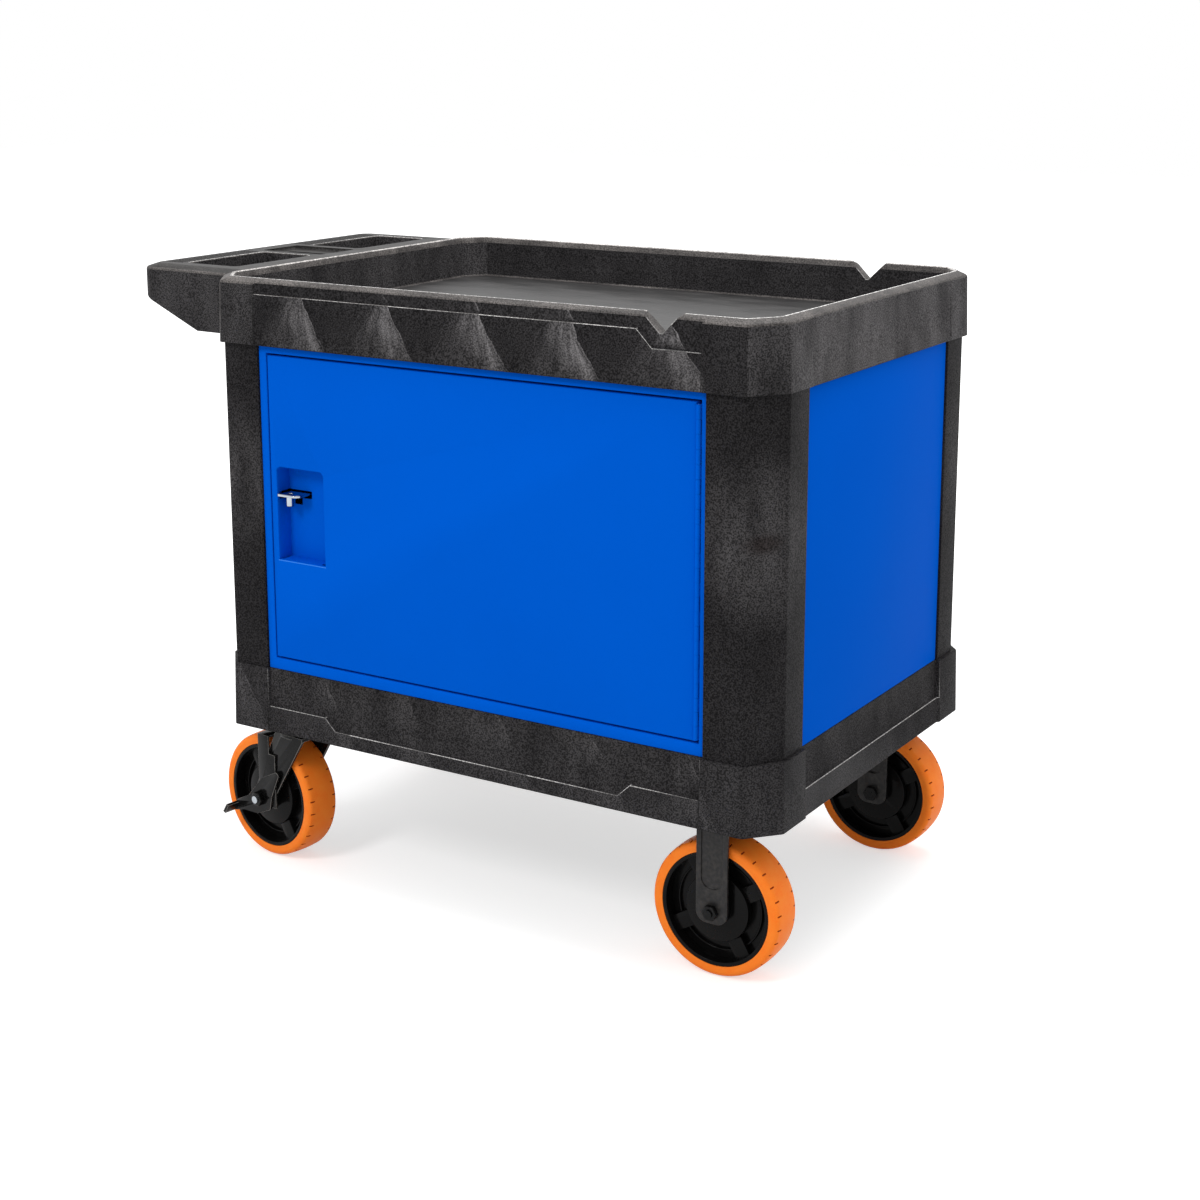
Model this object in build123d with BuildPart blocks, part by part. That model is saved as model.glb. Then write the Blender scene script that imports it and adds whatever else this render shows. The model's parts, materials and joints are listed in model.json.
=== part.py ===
from build123d import *
from math import hypot
import os

os.makedirs("parts", exist_ok=True)

# Heights, from the floor up
wheel_radius = 101.6
fork_room = 38.8
skirt_drop = 2.0
base_height = 101.4
cabinet_height = 507.3
tray_wall_height = 93.8
rim_crown = 6.0
tray_deck_depth = 62.0
base_deck_depth = 60.4
deck_thickness = 8.0

# Top tray, measured at its bottom edge
tray_length = 978.0
tray_width = 711.2
tray_cut_x = 40.0
tray_cut_y = 54.0
tray_draft = 3.0
tray_land = 32.0
corner_round = 8.0
rim_crown_run = 16.0
rim_crest = 2.5
rim_lip_drop = 10.0
rim_lip_run = 4.5
tray_wall_lean = 5.0
block_side_face = 66.0
block_end_face = 64.6
panel_step = 1.5
band_recess = 5.0
tray_ledge_drop = 17.0
tray_ledge_step = 25.0
notch_depth = 28.0
notch_floor = 4.0
front_notch_in = 171.0
back_notch_in = 184.0
notch_ledge_lead = 36.0
tray_rib = 5.0
rib_recess = 4.0
tray_rib_pitch_x = 180.0
tray_rib_pitch_y = 200.0
tray_cross_ribs = 5
tray_long_ribs = 3

# Handle, moulded on the tray's end
handle_length = 187.0
handle_root_width = 582.0
handle_tip_width = 572.0
handle_corner = 28.0
handle_top_corner = 20.0
handle_flat = 67.0
handle_tip_height = 42.0
handle_rail = 64.0
handle_side = 41.0
bin_inner = 21.0
bin_near = 62.0
bin_depth = 64.0
bin_round = 10.0
hand_slot_width = 22.0
hand_slot_depth = 40.0

# Base tray, measured at its bottom edge
base_flare = 5.0
base_tuck = 8.2
base_cut_x = 41.0
base_cut_y = 46.0
base_draft = 2.5
base_wall = 26.0
base_skirt = 16.0
base_ledge_high = 41.0
base_ledge_low = 22.0
base_ledge_lead = 111.0
base_ledge_slope = 20.0
base_side_step = 2.0
base_end_step = 3.5
base_band_recess = 4.0
pad_margin = 8.0
base_rib = 5.0
base_rib_pitch_x = 160.0
base_rib_pitch_y = 190.0
base_cross_ribs = 5
base_long_ribs = 3

# Corner posts
post_end_inset = 5.0
post_side_inset = 10.6
post_cut_x = 35.0
post_cut_y = 52.0
post_side_face = 63.9
post_end_face = 55.8
post_depth = 25.0
post_round = 6.0
spigot_inset = 7.0
spigot_length = 14.0
spigot_fit = 0.2
spigot_wall = 2.8

# Steel pans
panel_recess = 3.2
panel_gap = 0.3
panel_sheet = 2.0
panel_flange = 30.0
frame_left = 13.8
frame_right = 7.3
frame_top = 12.2
frame_bottom = 18.1
opening_flange = 18.0
screw_radius = 2.5
screw_grip = 14.0
screw_head_radius = 5.5
screw_head = 3.0
screw_setback = 12.0
screw_fit = 0.1
front_screws = 5
front_screw_pitch = 150.0
end_screws = 3
end_screw_pitch = 150.0

# Door and its piano hinge
door_gap = 3.0
door_sheet = 2.0
door_flange = 20.0
knuckle_room = 0.3
hinge_proud = 1.2
hinge_clear = 2.5
knuckle_radius = 3.5
knuckle_pitch = 20.0
tab_setback = 0.8
knuckle_gap = 0.3
hinge_pin_radius = 1.75
hinge_fit = 0.05
leaf_thickness = 1.6
leaf_depth = 16.0
leaf_seat = 0.05
stiffener_width = 44.0
stiffener_depth = 15.0
stiffener_lip = 12.0
stiffener_sheet = 1.5
stiffener_x = (-90.0, 150.0)
stiffener_clear = 14.0

# Lock pocket in the door, and the staple that stands in it
pocket_left = 10.0
pocket_width = 90.0
pocket_bottom = 156.0
pocket_height = 145.0
pocket_depth = 30.0
pocket_round = 8.0
pocket_sheet = 1.5
pocket_lip = 7.0
staple_width = 40.4
staple_thickness = 4.0
staple_lift = 101.0
staple_left = 0.6
staple_proud = 0.5
staple_hole_left = 16.4
staple_hole_back = 10.5
staple_hole_radius = 5.0
staple_arm = 22.0
staple_foot = 40.0
staple_behind = 3.5
staple_margin = 3.0
staple_round = 13.0
staple_corner = 2.0
bush_radius = 6.0
bush_length = 15.0
slot_side = 2.0
slot_over = 2.0
slot_under = 5.5
slot_margin = 2.5
bush_clear = 1.3
drain_width = 3.0
drain_margin = 4.0
drain_radius = 4.5
drain_inset = 9.0

# Casters
rigid_inset = 110.1
swivel_inset = 110.5
caster_side_inset = 82.5
swivel_trail = 60.0
front_swivel_turn = -7.9
back_swivel_turn = 0.0
plate_x = 114.0
plate_y = 102.0
plate_thickness = 6.0
bolt_edge_x = 12.0
bolt_edge_y = 13.0
bolt_radius = 5.0
bolt_fit = 0.15
bolt_head_radius = 8.0
bolt_head = 6.4
bolt_nut = 8.0
bolt_tip = 3.0

# Wheels
tyre_width = 61.0
tread_crown = 1.0
shoulder = 9.0
tyre_thickness = 16.6
tyre_taper = 2.0
rim_wall = 6.0
rim_step = 0.5
web_thickness = 16.0
ridge_radius = 66.0
ridge_width = 3.0
ridge_height = 5.0
disc_radius = 50.0
disc_sunk = 6.0
boss_radius = 23.0
boss_proud = 1.0
spoke_count = 4
spoke_width = 24.0
spoke_sunk = 10.0
spoke_start = -59.0
bearing_radius = 11.0
bearing_length = 20.0
axle_radius = 6.0
running_fit = 0.05
side_play = 0.3

# Forks
tyre_clear = 3.0
leg_thickness = 5.0
rigid_leg_width = 50.0
rigid_leg_below = 18.0
rigid_leg_round = 17.0
pressing_width = 34.0
pressing_above = 34.0
pressing_depth = 2.0
pressing_round = 15.0
nut_radius = 12.0
axle_nut = 8.0
axle_head = 7.0
axle_tip = 3.0
crown_drop = 22.0
crown_thickness = 6.0
crown_front = 36.0
crown_back = 26.0
leg_end_radius = 21.0

# Swivel bearing
race_radius = 30.0
race_ring = 11.0
upper_ring = 9.0
lower_ring = 5.0
ball_radius = 5.0
ball_count = 14
ball_fit = 0.3
kingpin_radius = 8.0
kingpin_head_radius = 12.0
kingpin_head = 4.0
kingpin_nut = 8.0

# Brake on the swivel casters, measured from the axle
blade_thickness = 3.0
blade_gap = 0.4
blade_back = 5.0
blade_low_front = 34.0
blade_high_front = 20.0
blade_shoulder_drop = 23.6
blade_below = 12.0
blade_travel = 2.9
shoe_clear = 3.2
shoe_reach = 52.0
lever_thickness = 4.0
lever_gap = 0.4
lever_round = 4.0
lever_outline = ((41.0, 53.0), (7.0, 36.0), (-27.0, -1.0), (-56.0, -16.0), (-70.0, -38.0),
                 (-39.0, -29.0), (-7.0, -28.0), (24.0, -15.0), (29.0, 8.0), (47.0, 48.0))
pedal_outline = ((-66.0, -32.0), (-57.0, -18.0), (-52.0, -20.0), (-61.0, -35.0))
pedal_width = 22.0

# Levels, sizes and places that follow from the sizes above
over = 20.0
caster_height = 2 * wheel_radius + fork_room
base_bottom = caster_height - skirt_drop
base_top = base_bottom + base_height
base_deck = base_top - base_deck_depth
tray_bottom = base_top + cabinet_height
rim_edge = tray_bottom + tray_wall_height
tray_top = rim_edge + rim_crown
tray_deck = rim_edge - tray_deck_depth
base_length = tray_length + base_flare
base_width = tray_width - base_tuck
body_x = (tray_length / 2 + handle_length - base_length / 2) / 2
post_x = tray_length / 2 - post_end_inset
post_y = tray_width / 2 - post_side_inset
front_face = post_y - panel_recess
end_face = post_x - panel_recess
front_panel_length = 2 * (post_x - post_cut_x - post_side_face - panel_gap)
end_panel_width = 2 * (post_y - post_cut_y - post_end_face - panel_gap)
block_x = tray_length / 2 - tray_cut_x - block_side_face
block_y = tray_width / 2 - tray_cut_y - block_end_face
fork_inside = tyre_width + 2 * tyre_clear
body = Location((body_x, 0, 0))
tray_size = (tray_length, tray_width, tray_cut_x, tray_cut_y)
base_size = (base_length, base_width, base_cut_x, base_cut_y)
corners = {"front_left": (-1, -1), "front_right": (1, -1), "back_left": (-1, 1), "back_right": (1, 1)}


def placed(place, plane):
    """A plane moved and turned along with a place."""
    return Plane(place * plane.location)


def level(height):
    """The horizontal plane at a height, with its origin on the body's centre."""
    return placed(body, Plane.XY.offset(height))


def side_plane(y):
    """The upright plane at y that faces the front, drawn in x and z from the body's centre."""
    return placed(body, Plane.XZ.offset(-y))


def corner_cut_section(height, size, inset=0.0):
    """A rectangle with cut and rounded corners, moved in by inset all round."""
    length, width, cut_x, cut_y = size
    slant = hypot(cut_x, cut_y)
    lean_x = cut_y / slant
    lean_y = cut_x / slant
    half_x = length / 2 - inset
    half_y = width / 2 - inset
    near_x = half_x - cut_x + inset * (1 - (1 - lean_y) / lean_x)
    near_y = half_y - cut_y + inset * (1 - (1 - lean_x) / lean_y)
    with BuildSketch(level(height)) as section:
        Polygon(
            (near_x, half_y), (-near_x, half_y), (-half_x, near_y), (-half_x, -near_y),
            (-near_x, -half_y), (near_x, -half_y), (half_x, -near_y), (half_x, near_y),
            align=None,
        )
        fillet(section.vertices(), corner_round)
    return section.sketch


def block(low, high, mode=Mode.ADD):
    """A box between two opposite corners, measured from the body's centre."""
    middle = [(a + b) / 2 for a, b in zip(low, high)]
    with Locations((body_x + middle[0], middle[1], middle[2])):
        Box(high[0] - low[0], high[1] - low[1], high[2] - low[2], mode=mode)


def stand_back(length, width, lean, low, high, turns):
    """Cut the panels between the corner blocks back from their faces, with slanted ends.

    Each turn is the way a panel faces, from +x, with the depth of its step.
    """
    for turn, step in turns.items():
        across = turn % 180 != 0
        half = block_x if across else block_y
        face = width / 2 if across else length / 2
        sections = []
        for height, out in ((low, face), (high, face - lean)):
            with BuildSketch(level(height)) as section:
                with Locations(Location((0, 0, 0), (0, 0, turn))):
                    Polygon((out - step, step - half), (out + over, -half - over),
                            (out + over, half + over), (out - step, half - step), align=None)
            sections.append(section.sketch)
        loft(sections, ruled=True, mode=Mode.SUBTRACT)


def post_section(height, side_x, side_y, inset=0.0):
    """The L-shaped plan of a corner post, moved in by inset all round."""
    lean = hypot(post_cut_x, post_cut_y)
    inner_x = post_x - post_depth
    inner_y = post_y - post_depth
    start_x = post_x - post_cut_x - post_depth * post_cut_y / lean
    start_y = post_y - post_depth * post_cut_x / lean
    turn_x = start_x + (start_y - inner_y) * post_cut_x / post_cut_y
    turn_y = start_y - (inner_x - start_x) * post_cut_y / post_cut_x
    edge_x = front_panel_length / 2 + panel_gap
    edge_y = end_panel_width / 2 + panel_gap
    outline = [
        (edge_x, post_y), (post_x - post_cut_x, post_y), (post_x, post_y - post_cut_y),
        (post_x, edge_y), (inner_x, edge_y), (inner_x, turn_y), (turn_x, inner_y), (edge_x, inner_y),
    ]
    with BuildSketch(level(height)) as section:
        Polygon(*[(side_x * x, side_y * y) for x, y in outline], align=None)
        if inset:
            offset(amount=-inset, kind=Kind.INTERSECTION, mode=Mode.REPLACE)
    return section.sketch


def screw_places(height):
    """Where the pans are screwed down, on one level."""
    front_y = front_face - screw_setback
    end_x = end_face - screw_setback
    front = [(front_screw_pitch * (i - (front_screws - 1) / 2), side * front_y)
             for side in (-1, 1) for i in range(front_screws)]
    ends = [(side * end_x, end_screw_pitch * (i - (end_screws - 1) / 2))
            for side in (-1, 1) for i in range(end_screws)]
    return [(body_x + x, y, height) for x, y in front + ends]


def save(piece, name):
    """Label a finished piece and write its file."""
    piece.part.label = name
    export_step(piece.part, f"parts/{name}.step")


# The top tray: a drafted wall with cut corners, a crowned rim, a sunk deck and a ribbed underside
rim_inset = tray_draft + rim_crown_run + rim_crest
lip_inset = rim_inset + rim_lip_run
handle_tip = -(tray_length / 2 + handle_length)
handle_root = -(tray_length / 2 - tray_draft - rim_crown_run)
ledge_high = rim_edge - tray_ledge_drop
ledge_low = ledge_high - tray_ledge_step
notch_bottom = tray_top - notch_depth
deck_underside = tray_deck - deck_thickness
band_y = tray_width / 2 - tray_draft - band_recess

with BuildPart() as top_tray:
    loft([corner_cut_section(tray_bottom, tray_size), corner_cut_section(rim_edge, tray_size, tray_draft)],
         ruled=True)
    # Panels between the corner blocks stand back a little, on the sides and the far end
    stand_back(tray_length, tray_width, tray_draft, tray_bottom, rim_edge,
               {0: panel_step, 90: panel_step, -90: panel_step})
    # The crowned rim
    loft([corner_cut_section(rim_edge, tray_size, tray_draft),
          corner_cut_section(tray_top, tray_size, tray_draft + rim_crown_run)], ruled=True)
    # The handle block, crowned like the rim
    with BuildSketch(level(tray_bottom)) as handle_plan:
        Polygon((handle_root, -handle_root_width / 2), (handle_tip, -handle_tip_width / 2),
                (handle_tip, handle_tip_width / 2), (handle_root, handle_root_width / 2), align=None)
        fillet(handle_plan.vertices().group_by(Axis.X)[0], handle_corner)
    extrude(handle_plan.sketch, amount=tray_wall_height)
    with BuildSketch(level(tray_top)) as handle_top:
        Polygon((handle_root, -handle_root_width / 2 + rim_crown_run),
                (handle_tip + rim_crown_run, -handle_tip_width / 2 + rim_crown_run),
                (handle_tip + rim_crown_run, handle_tip_width / 2 - rim_crown_run),
                (handle_root, handle_root_width / 2 - rim_crown_run), align=None)
        fillet(handle_top.vertices().group_by(Axis.X)[0], handle_top_corner)
    handle_rim = handle_plan.sketch.moved(Location((0, 0, tray_wall_height)))
    loft([handle_rim, handle_top.sketch], ruled=True)
    # The handle's underside rises towards its tip
    slope_start = -(tray_length / 2 + handle_flat)
    slope_end = handle_tip - over
    slope_rate = (tray_wall_height - handle_tip_height) / (handle_length - handle_flat)
    with BuildSketch(side_plane(0)) as wedge:
        Polygon((slope_start, tray_bottom), (slope_end, tray_bottom + (slope_start - slope_end) * slope_rate),
                (slope_end, tray_bottom - over), (slope_start, tray_bottom - over), align=None)
    extrude(wedge.sketch, amount=handle_root_width / 2 + over, both=True, mode=Mode.SUBTRACT)
    # Two bins and a hand slot in the handle's top
    bin_outer = handle_length - handle_rail
    bin_far = handle_tip_width / 2 - handle_side
    bin_length = bin_outer - bin_inner
    bin_middle = -(tray_length / 2 + (bin_outer + bin_inner) / 2)
    with BuildSketch(level(tray_top)) as bins:
        with Locations((bin_middle, -(bin_near + bin_far) / 2), (bin_middle, (bin_near + bin_far) / 2)):
            RectangleRounded(bin_length, bin_far - bin_near, bin_round)
    extrude(bins.sketch, amount=-bin_depth, mode=Mode.SUBTRACT)
    with BuildSketch(level(tray_top)) as hand_slot:
        with Locations((bin_middle, 0)):
            SlotOverall(bin_length, hand_slot_width)
    extrude(hand_slot.sketch, amount=-hand_slot_depth, mode=Mode.SUBTRACT)
    # The sunk deck, its leaning inner wall and the bevel of the rim's lip
    loft([corner_cut_section(tray_top - rim_lip_drop, tray_size, lip_inset),
          corner_cut_section(tray_top, tray_size, rim_inset)], ruled=True, mode=Mode.SUBTRACT)
    loft([corner_cut_section(tray_deck, tray_size, lip_inset + tray_wall_lean),
          corner_cut_section(tray_top - rim_lip_drop, tray_size, lip_inset)], ruled=True, mode=Mode.SUBTRACT)
    # The underside, hollow between the land and crossed by ribs
    extrude(corner_cut_section(tray_bottom, tray_size, tray_land), amount=deck_underside - tray_bottom,
            mode=Mode.SUBTRACT)
    rib_height = deck_underside - tray_bottom - rib_recess
    hollow_x = tray_length - 2 * tray_land + tray_rib
    hollow_y = tray_width - 2 * tray_land + tray_rib
    with BuildSketch(level(deck_underside)) as ribs:
        with GridLocations(tray_rib_pitch_x, 0, tray_cross_ribs, 1):
            Rectangle(tray_rib, hollow_y)
        with GridLocations(0, tray_rib_pitch_y, 1, tray_long_ribs):
            Rectangle(hollow_x, tray_rib)
    extrude(ribs.sketch, amount=-rib_height)
    # The upper band stands back above a ledge that steps down beside the notch, front and back
    for side, notch_in in ((-1, front_notch_in), (1, back_notch_in)):
        notch_x = tray_length / 2 - notch_in
        with BuildSketch(side_plane(side * band_y)) as band:
            Polygon((-block_x, ledge_high), (notch_x - notch_ledge_lead, ledge_high),
                    (notch_x - notch_ledge_lead + tray_ledge_step, ledge_low), (block_x, ledge_low),
                    (block_x, tray_top + over), (-block_x, tray_top + over), align=None)
        extrude(band.sketch, amount=-side * over, mode=Mode.SUBTRACT)
        notch_half = notch_floor / 2 + notch_depth + over
        with BuildSketch(side_plane(side * tray_width / 2)) as notch:
            Polygon((notch_x - notch_half, tray_top + over), (notch_x - notch_floor / 2, notch_bottom),
                    (notch_x + notch_floor / 2, notch_bottom), (notch_x + notch_half, tray_top + over),
                    align=None)
        extrude(notch.sketch, amount=side * (lip_inset + tray_wall_lean + over), mode=Mode.SUBTRACT)
    # Sockets for the posts and holes for the screws, in the land
    for side_x, side_y in corners.values():
        extrude(post_section(tray_bottom, side_x, side_y, spigot_inset - spigot_fit),
                amount=spigot_length + spigot_fit, mode=Mode.SUBTRACT)
    with Locations(*screw_places(tray_bottom)):
        Cylinder(screw_radius + screw_fit, screw_grip + screw_fit,
                 align=(Align.CENTER, Align.CENTER, Align.MIN), mode=Mode.SUBTRACT)
save(top_tray, "top_tray")

rigid_x = base_length / 2 - rigid_inset
swivel_x = base_length / 2 - swivel_inset
caster_y = base_width / 2 - caster_side_inset
bolt_x = plate_x / 2 - bolt_edge_x
bolt_y = plate_y / 2 - bolt_edge_y

# Where the casters stand, which way they point, how far the wheel trails, and which side is outside
rigid_casters = {
    "front": (Location((body_x + rigid_x, -caster_y, 0)), -1),
    "back": (Location((body_x + rigid_x, caster_y, 0)), 1),
}
swivel_casters = {
    "front": (Location((body_x - swivel_x, -caster_y, 0), (0, 0, front_swivel_turn)), -1),
    "back": (Location((body_x - swivel_x, caster_y, 0), (0, 0, back_swivel_turn)), 1),
}
plate_places = [(side_x * x, side_y * caster_y) for side_x, x in ((1, rigid_x), (-1, swivel_x))
                for side_y in (-1, 1)]
bolt_places = [(body_x + x + dx, y + dy) for x, y in plate_places
               for dx in (-bolt_x, bolt_x) for dy in (-bolt_y, bolt_y)]
plate_bottom = caster_height - plate_thickness

# The base tray: a drafted wall round a sunk floor, with a skirt below and pads for the casters
floor_underside = base_deck - deck_thickness

with BuildPart() as base_tray:
    loft([corner_cut_section(base_bottom, base_size), corner_cut_section(base_top, base_size, base_draft)],
         ruled=True)
    # Panels between the corner blocks stand back, all round
    stand_back(base_length, base_width, base_draft, base_bottom, base_top,
               {0: base_end_step, 180: base_end_step, 90: base_side_step, -90: base_side_step})
    # The upper band stands back above a ledge, on the sides and both ends
    side_band = base_width / 2 - base_draft - base_side_step - base_band_recess
    end_band = base_length / 2 - base_draft - base_end_step - base_band_recess
    ledge_x = block_x - base_ledge_lead
    high_ledge = base_bottom + base_ledge_high
    low_ledge = base_bottom + base_ledge_low
    for side in (-1, 1):
        with BuildSketch(side_plane(side * side_band)) as band:
            Polygon((-block_x, high_ledge), (-ledge_x, high_ledge), (-ledge_x + base_ledge_slope, low_ledge),
                    (ledge_x - base_ledge_slope, low_ledge), (ledge_x, high_ledge), (block_x, high_ledge),
                    (block_x, base_top + over), (-block_x, base_top + over), align=None)
        extrude(band.sketch, amount=-side * over, mode=Mode.SUBTRACT)
        block((min(side * end_band, side * (end_band + over)), -block_y, high_ledge),
              (max(side * end_band, side * (end_band + over)), block_y, base_top + over), Mode.SUBTRACT)
    # The sunk floor above and the hollow below it
    extrude(corner_cut_section(base_deck, base_size, base_draft + base_wall), amount=base_deck_depth,
            mode=Mode.SUBTRACT)
    extrude(corner_cut_section(base_bottom, base_size, base_skirt), amount=floor_underside - base_bottom,
            mode=Mode.SUBTRACT)
    # Pads for the casters and ribs between them
    with BuildSketch(level(floor_underside)) as pads:
        with Locations(*plate_places):
            Rectangle(plate_x + 2 * pad_margin, plate_y + 2 * pad_margin)
    extrude(pads.sketch, amount=-(floor_underside - caster_height))
    with BuildSketch(level(floor_underside)) as base_ribs:
        with GridLocations(base_rib_pitch_x, 0, base_cross_ribs, 1):
            Rectangle(base_rib, base_width - 2 * base_skirt + base_rib)
        with GridLocations(0, base_rib_pitch_y, 1, base_long_ribs):
            Rectangle(base_length - 2 * base_skirt + base_rib, base_rib)
    extrude(base_ribs.sketch, amount=-(floor_underside - caster_height - rib_recess))
    # Sockets, screw holes and caster bolt holes
    for side_x, side_y in corners.values():
        extrude(post_section(base_top, side_x, side_y, spigot_inset - spigot_fit),
                amount=-(spigot_length + spigot_fit), mode=Mode.SUBTRACT)
    with Locations(*screw_places(base_top)):
        Cylinder(screw_radius + screw_fit, screw_grip + screw_fit,
                 align=(Align.CENTER, Align.CENTER, Align.MAX), mode=Mode.SUBTRACT)
    with Locations(*[(x, y, caster_height) for x, y in bolt_places]):
        Cylinder(bolt_radius + bolt_fit, base_deck - caster_height,
                 align=(Align.CENTER, Align.CENTER, Align.MIN), mode=Mode.SUBTRACT)
save(base_tray, "base_tray")

# Four hollow corner posts, plugged into the tray and the base
for name, (side_x, side_y) in corners.items():
    with BuildPart() as post:
        extrude(post_section(base_top, side_x, side_y), amount=cabinet_height)
        corner = (body_x + side_x * post_x, side_y * post_y, base_top + cabinet_height / 2)
        outer_edges = post.edges().filter_by(Axis.Z).sort_by_distance(corner)[0:2]
        fillet(outer_edges, post_round)
        extrude(post_section(base_top - spigot_length, side_x, side_y, spigot_inset),
                amount=cabinet_height + 2 * spigot_length)
        extrude(post_section(base_top - spigot_length, side_x, side_y, spigot_inset + spigot_wall),
                amount=cabinet_height + 2 * spigot_length, mode=Mode.SUBTRACT)
    save(post, f"post_{name}")

# The door frame: a folded pan with a flanged opening for the door
frame_half = front_panel_length / 2
opening_left = -frame_half + frame_left
opening_right = frame_half - frame_right
opening_bottom = base_top + frame_bottom
opening_top = tray_bottom - frame_top
frame_in = -front_face + pocket_depth + pocket_sheet + staple_behind + staple_arm + staple_margin
hinge_mouth = 2 * (knuckle_radius + knuckle_room)
sheet_in = -front_face + panel_sheet

with BuildPart() as door_frame:
    block((-frame_half, -front_face, base_top), (frame_half, frame_in, tray_bottom))
    block((-frame_half + panel_sheet, sheet_in, base_top + panel_sheet),
          (frame_half - panel_sheet, frame_in, tray_bottom - panel_sheet), Mode.SUBTRACT)
    block((opening_left - panel_sheet, -front_face, opening_bottom - panel_sheet),
          (opening_right + panel_sheet, -front_face + opening_flange, opening_top + panel_sheet))
    block((opening_left, -front_face, opening_bottom),
          (opening_right, -front_face + opening_flange, opening_top), Mode.SUBTRACT)
    for height in (base_top, tray_bottom - panel_sheet):
        with Locations(*[p for p in screw_places(height) if p[1] < -end_panel_width / 2]):
            Cylinder(screw_radius + screw_fit, panel_sheet,
                     align=(Align.CENTER, Align.CENTER, Align.MIN), mode=Mode.SUBTRACT)
save(door_frame, "door_frame")

# The back panel: a folded pan
with BuildPart() as back_panel:
    block((-frame_half, front_face - panel_flange, base_top), (frame_half, front_face, tray_bottom))
    block((-frame_half + panel_sheet, front_face - panel_flange, base_top + panel_sheet),
          (frame_half - panel_sheet, front_face - panel_sheet, tray_bottom - panel_sheet), Mode.SUBTRACT)
    for height in (base_top, tray_bottom - panel_sheet):
        with Locations(*[p for p in screw_places(height) if p[1] > end_panel_width / 2]):
            Cylinder(screw_radius + screw_fit, panel_sheet,
                     align=(Align.CENTER, Align.CENTER, Align.MIN), mode=Mode.SUBTRACT)
save(back_panel, "back_panel")

# The two end panels: folded pans
for name, side in (("handle_end_panel", -1), ("far_end_panel", 1)):
    half = end_panel_width / 2
    pan_low = min(side * end_face, side * (end_face - panel_flange))
    pan_high = max(side * end_face, side * (end_face - panel_flange))
    inside_low = pan_low if side > 0 else pan_low + panel_sheet
    inside_high = pan_high - panel_sheet if side > 0 else pan_high
    with BuildPart() as end_panel:
        block((pan_low, -half, base_top), (pan_high, half, tray_bottom))
        block((inside_low, -half + panel_sheet, base_top + panel_sheet),
              (inside_high, half - panel_sheet, tray_bottom - panel_sheet), Mode.SUBTRACT)
        for height in (base_top, tray_bottom - panel_sheet):
            with Locations(*[p for p in screw_places(height) if side * (p[0] - body_x) > frame_half]):
                Cylinder(screw_radius + screw_fit, panel_sheet,
                         align=(Align.CENTER, Align.CENTER, Align.MIN), mode=Mode.SUBTRACT)
    save(end_panel, name)

# Screws through the pans' flanges, up into the tray and down into the base
with BuildPart() as panel_screws:
    with Locations(*screw_places(tray_bottom - panel_sheet)):
        Cylinder(screw_radius, panel_sheet + screw_grip, align=(Align.CENTER, Align.CENTER, Align.MIN))
        Cylinder(screw_head_radius, screw_head, align=(Align.CENTER, Align.CENTER, Align.MAX))
    with Locations(*screw_places(base_top + panel_sheet)):
        Cylinder(screw_radius, panel_sheet + screw_grip, align=(Align.CENTER, Align.CENTER, Align.MAX))
        Cylinder(screw_head_radius, screw_head, align=(Align.CENTER, Align.CENTER, Align.MIN))
save(panel_screws, "panel_screws")

# The door: a folded pan flush with its frame, with an opening for the lock pocket
door_left = opening_left + door_gap
door_right = opening_right - hinge_mouth
door_bottom = opening_bottom + door_gap
door_top = opening_top - door_gap
door_in = -front_face + door_flange
pocket_x = door_left + pocket_left + pocket_width / 2
pocket_z = door_bottom + pocket_bottom + pocket_height / 2
skin_in = -front_face + door_sheet

with BuildPart() as door_panel:
    block((door_left, -front_face, door_bottom), (door_right, door_in, door_top))
    block((door_left + door_sheet, skin_in, door_bottom + door_sheet),
          (door_right - door_sheet, door_in, door_top - door_sheet), Mode.SUBTRACT)
    with BuildSketch(side_plane(-front_face)) as pocket_mouth:
        with Locations((pocket_x, pocket_z)):
            Rectangle(pocket_width, pocket_height)
        fillet(pocket_mouth.vertices().group_by(Axis.Y)[-1], pocket_round)
    extrude(pocket_mouth.sketch, amount=-door_sheet, mode=Mode.SUBTRACT)
save(door_panel, "door_panel")

# The lock pocket: a pressed box with a lip behind the skin, slotted for the staple round its back left corner
pocket_back = -front_face + pocket_depth
wall_left = pocket_x - pocket_width / 2
staple_start = wall_left + staple_left
staple_end = staple_start + staple_width
staple_front = -front_face - staple_proud
staple_z = door_bottom + pocket_bottom + staple_lift
staple_low = staple_z - staple_thickness / 2
staple_high = staple_z + staple_thickness / 2
hole_x = staple_start + staple_hole_left
hole_y = staple_front + staple_hole_back

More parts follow.
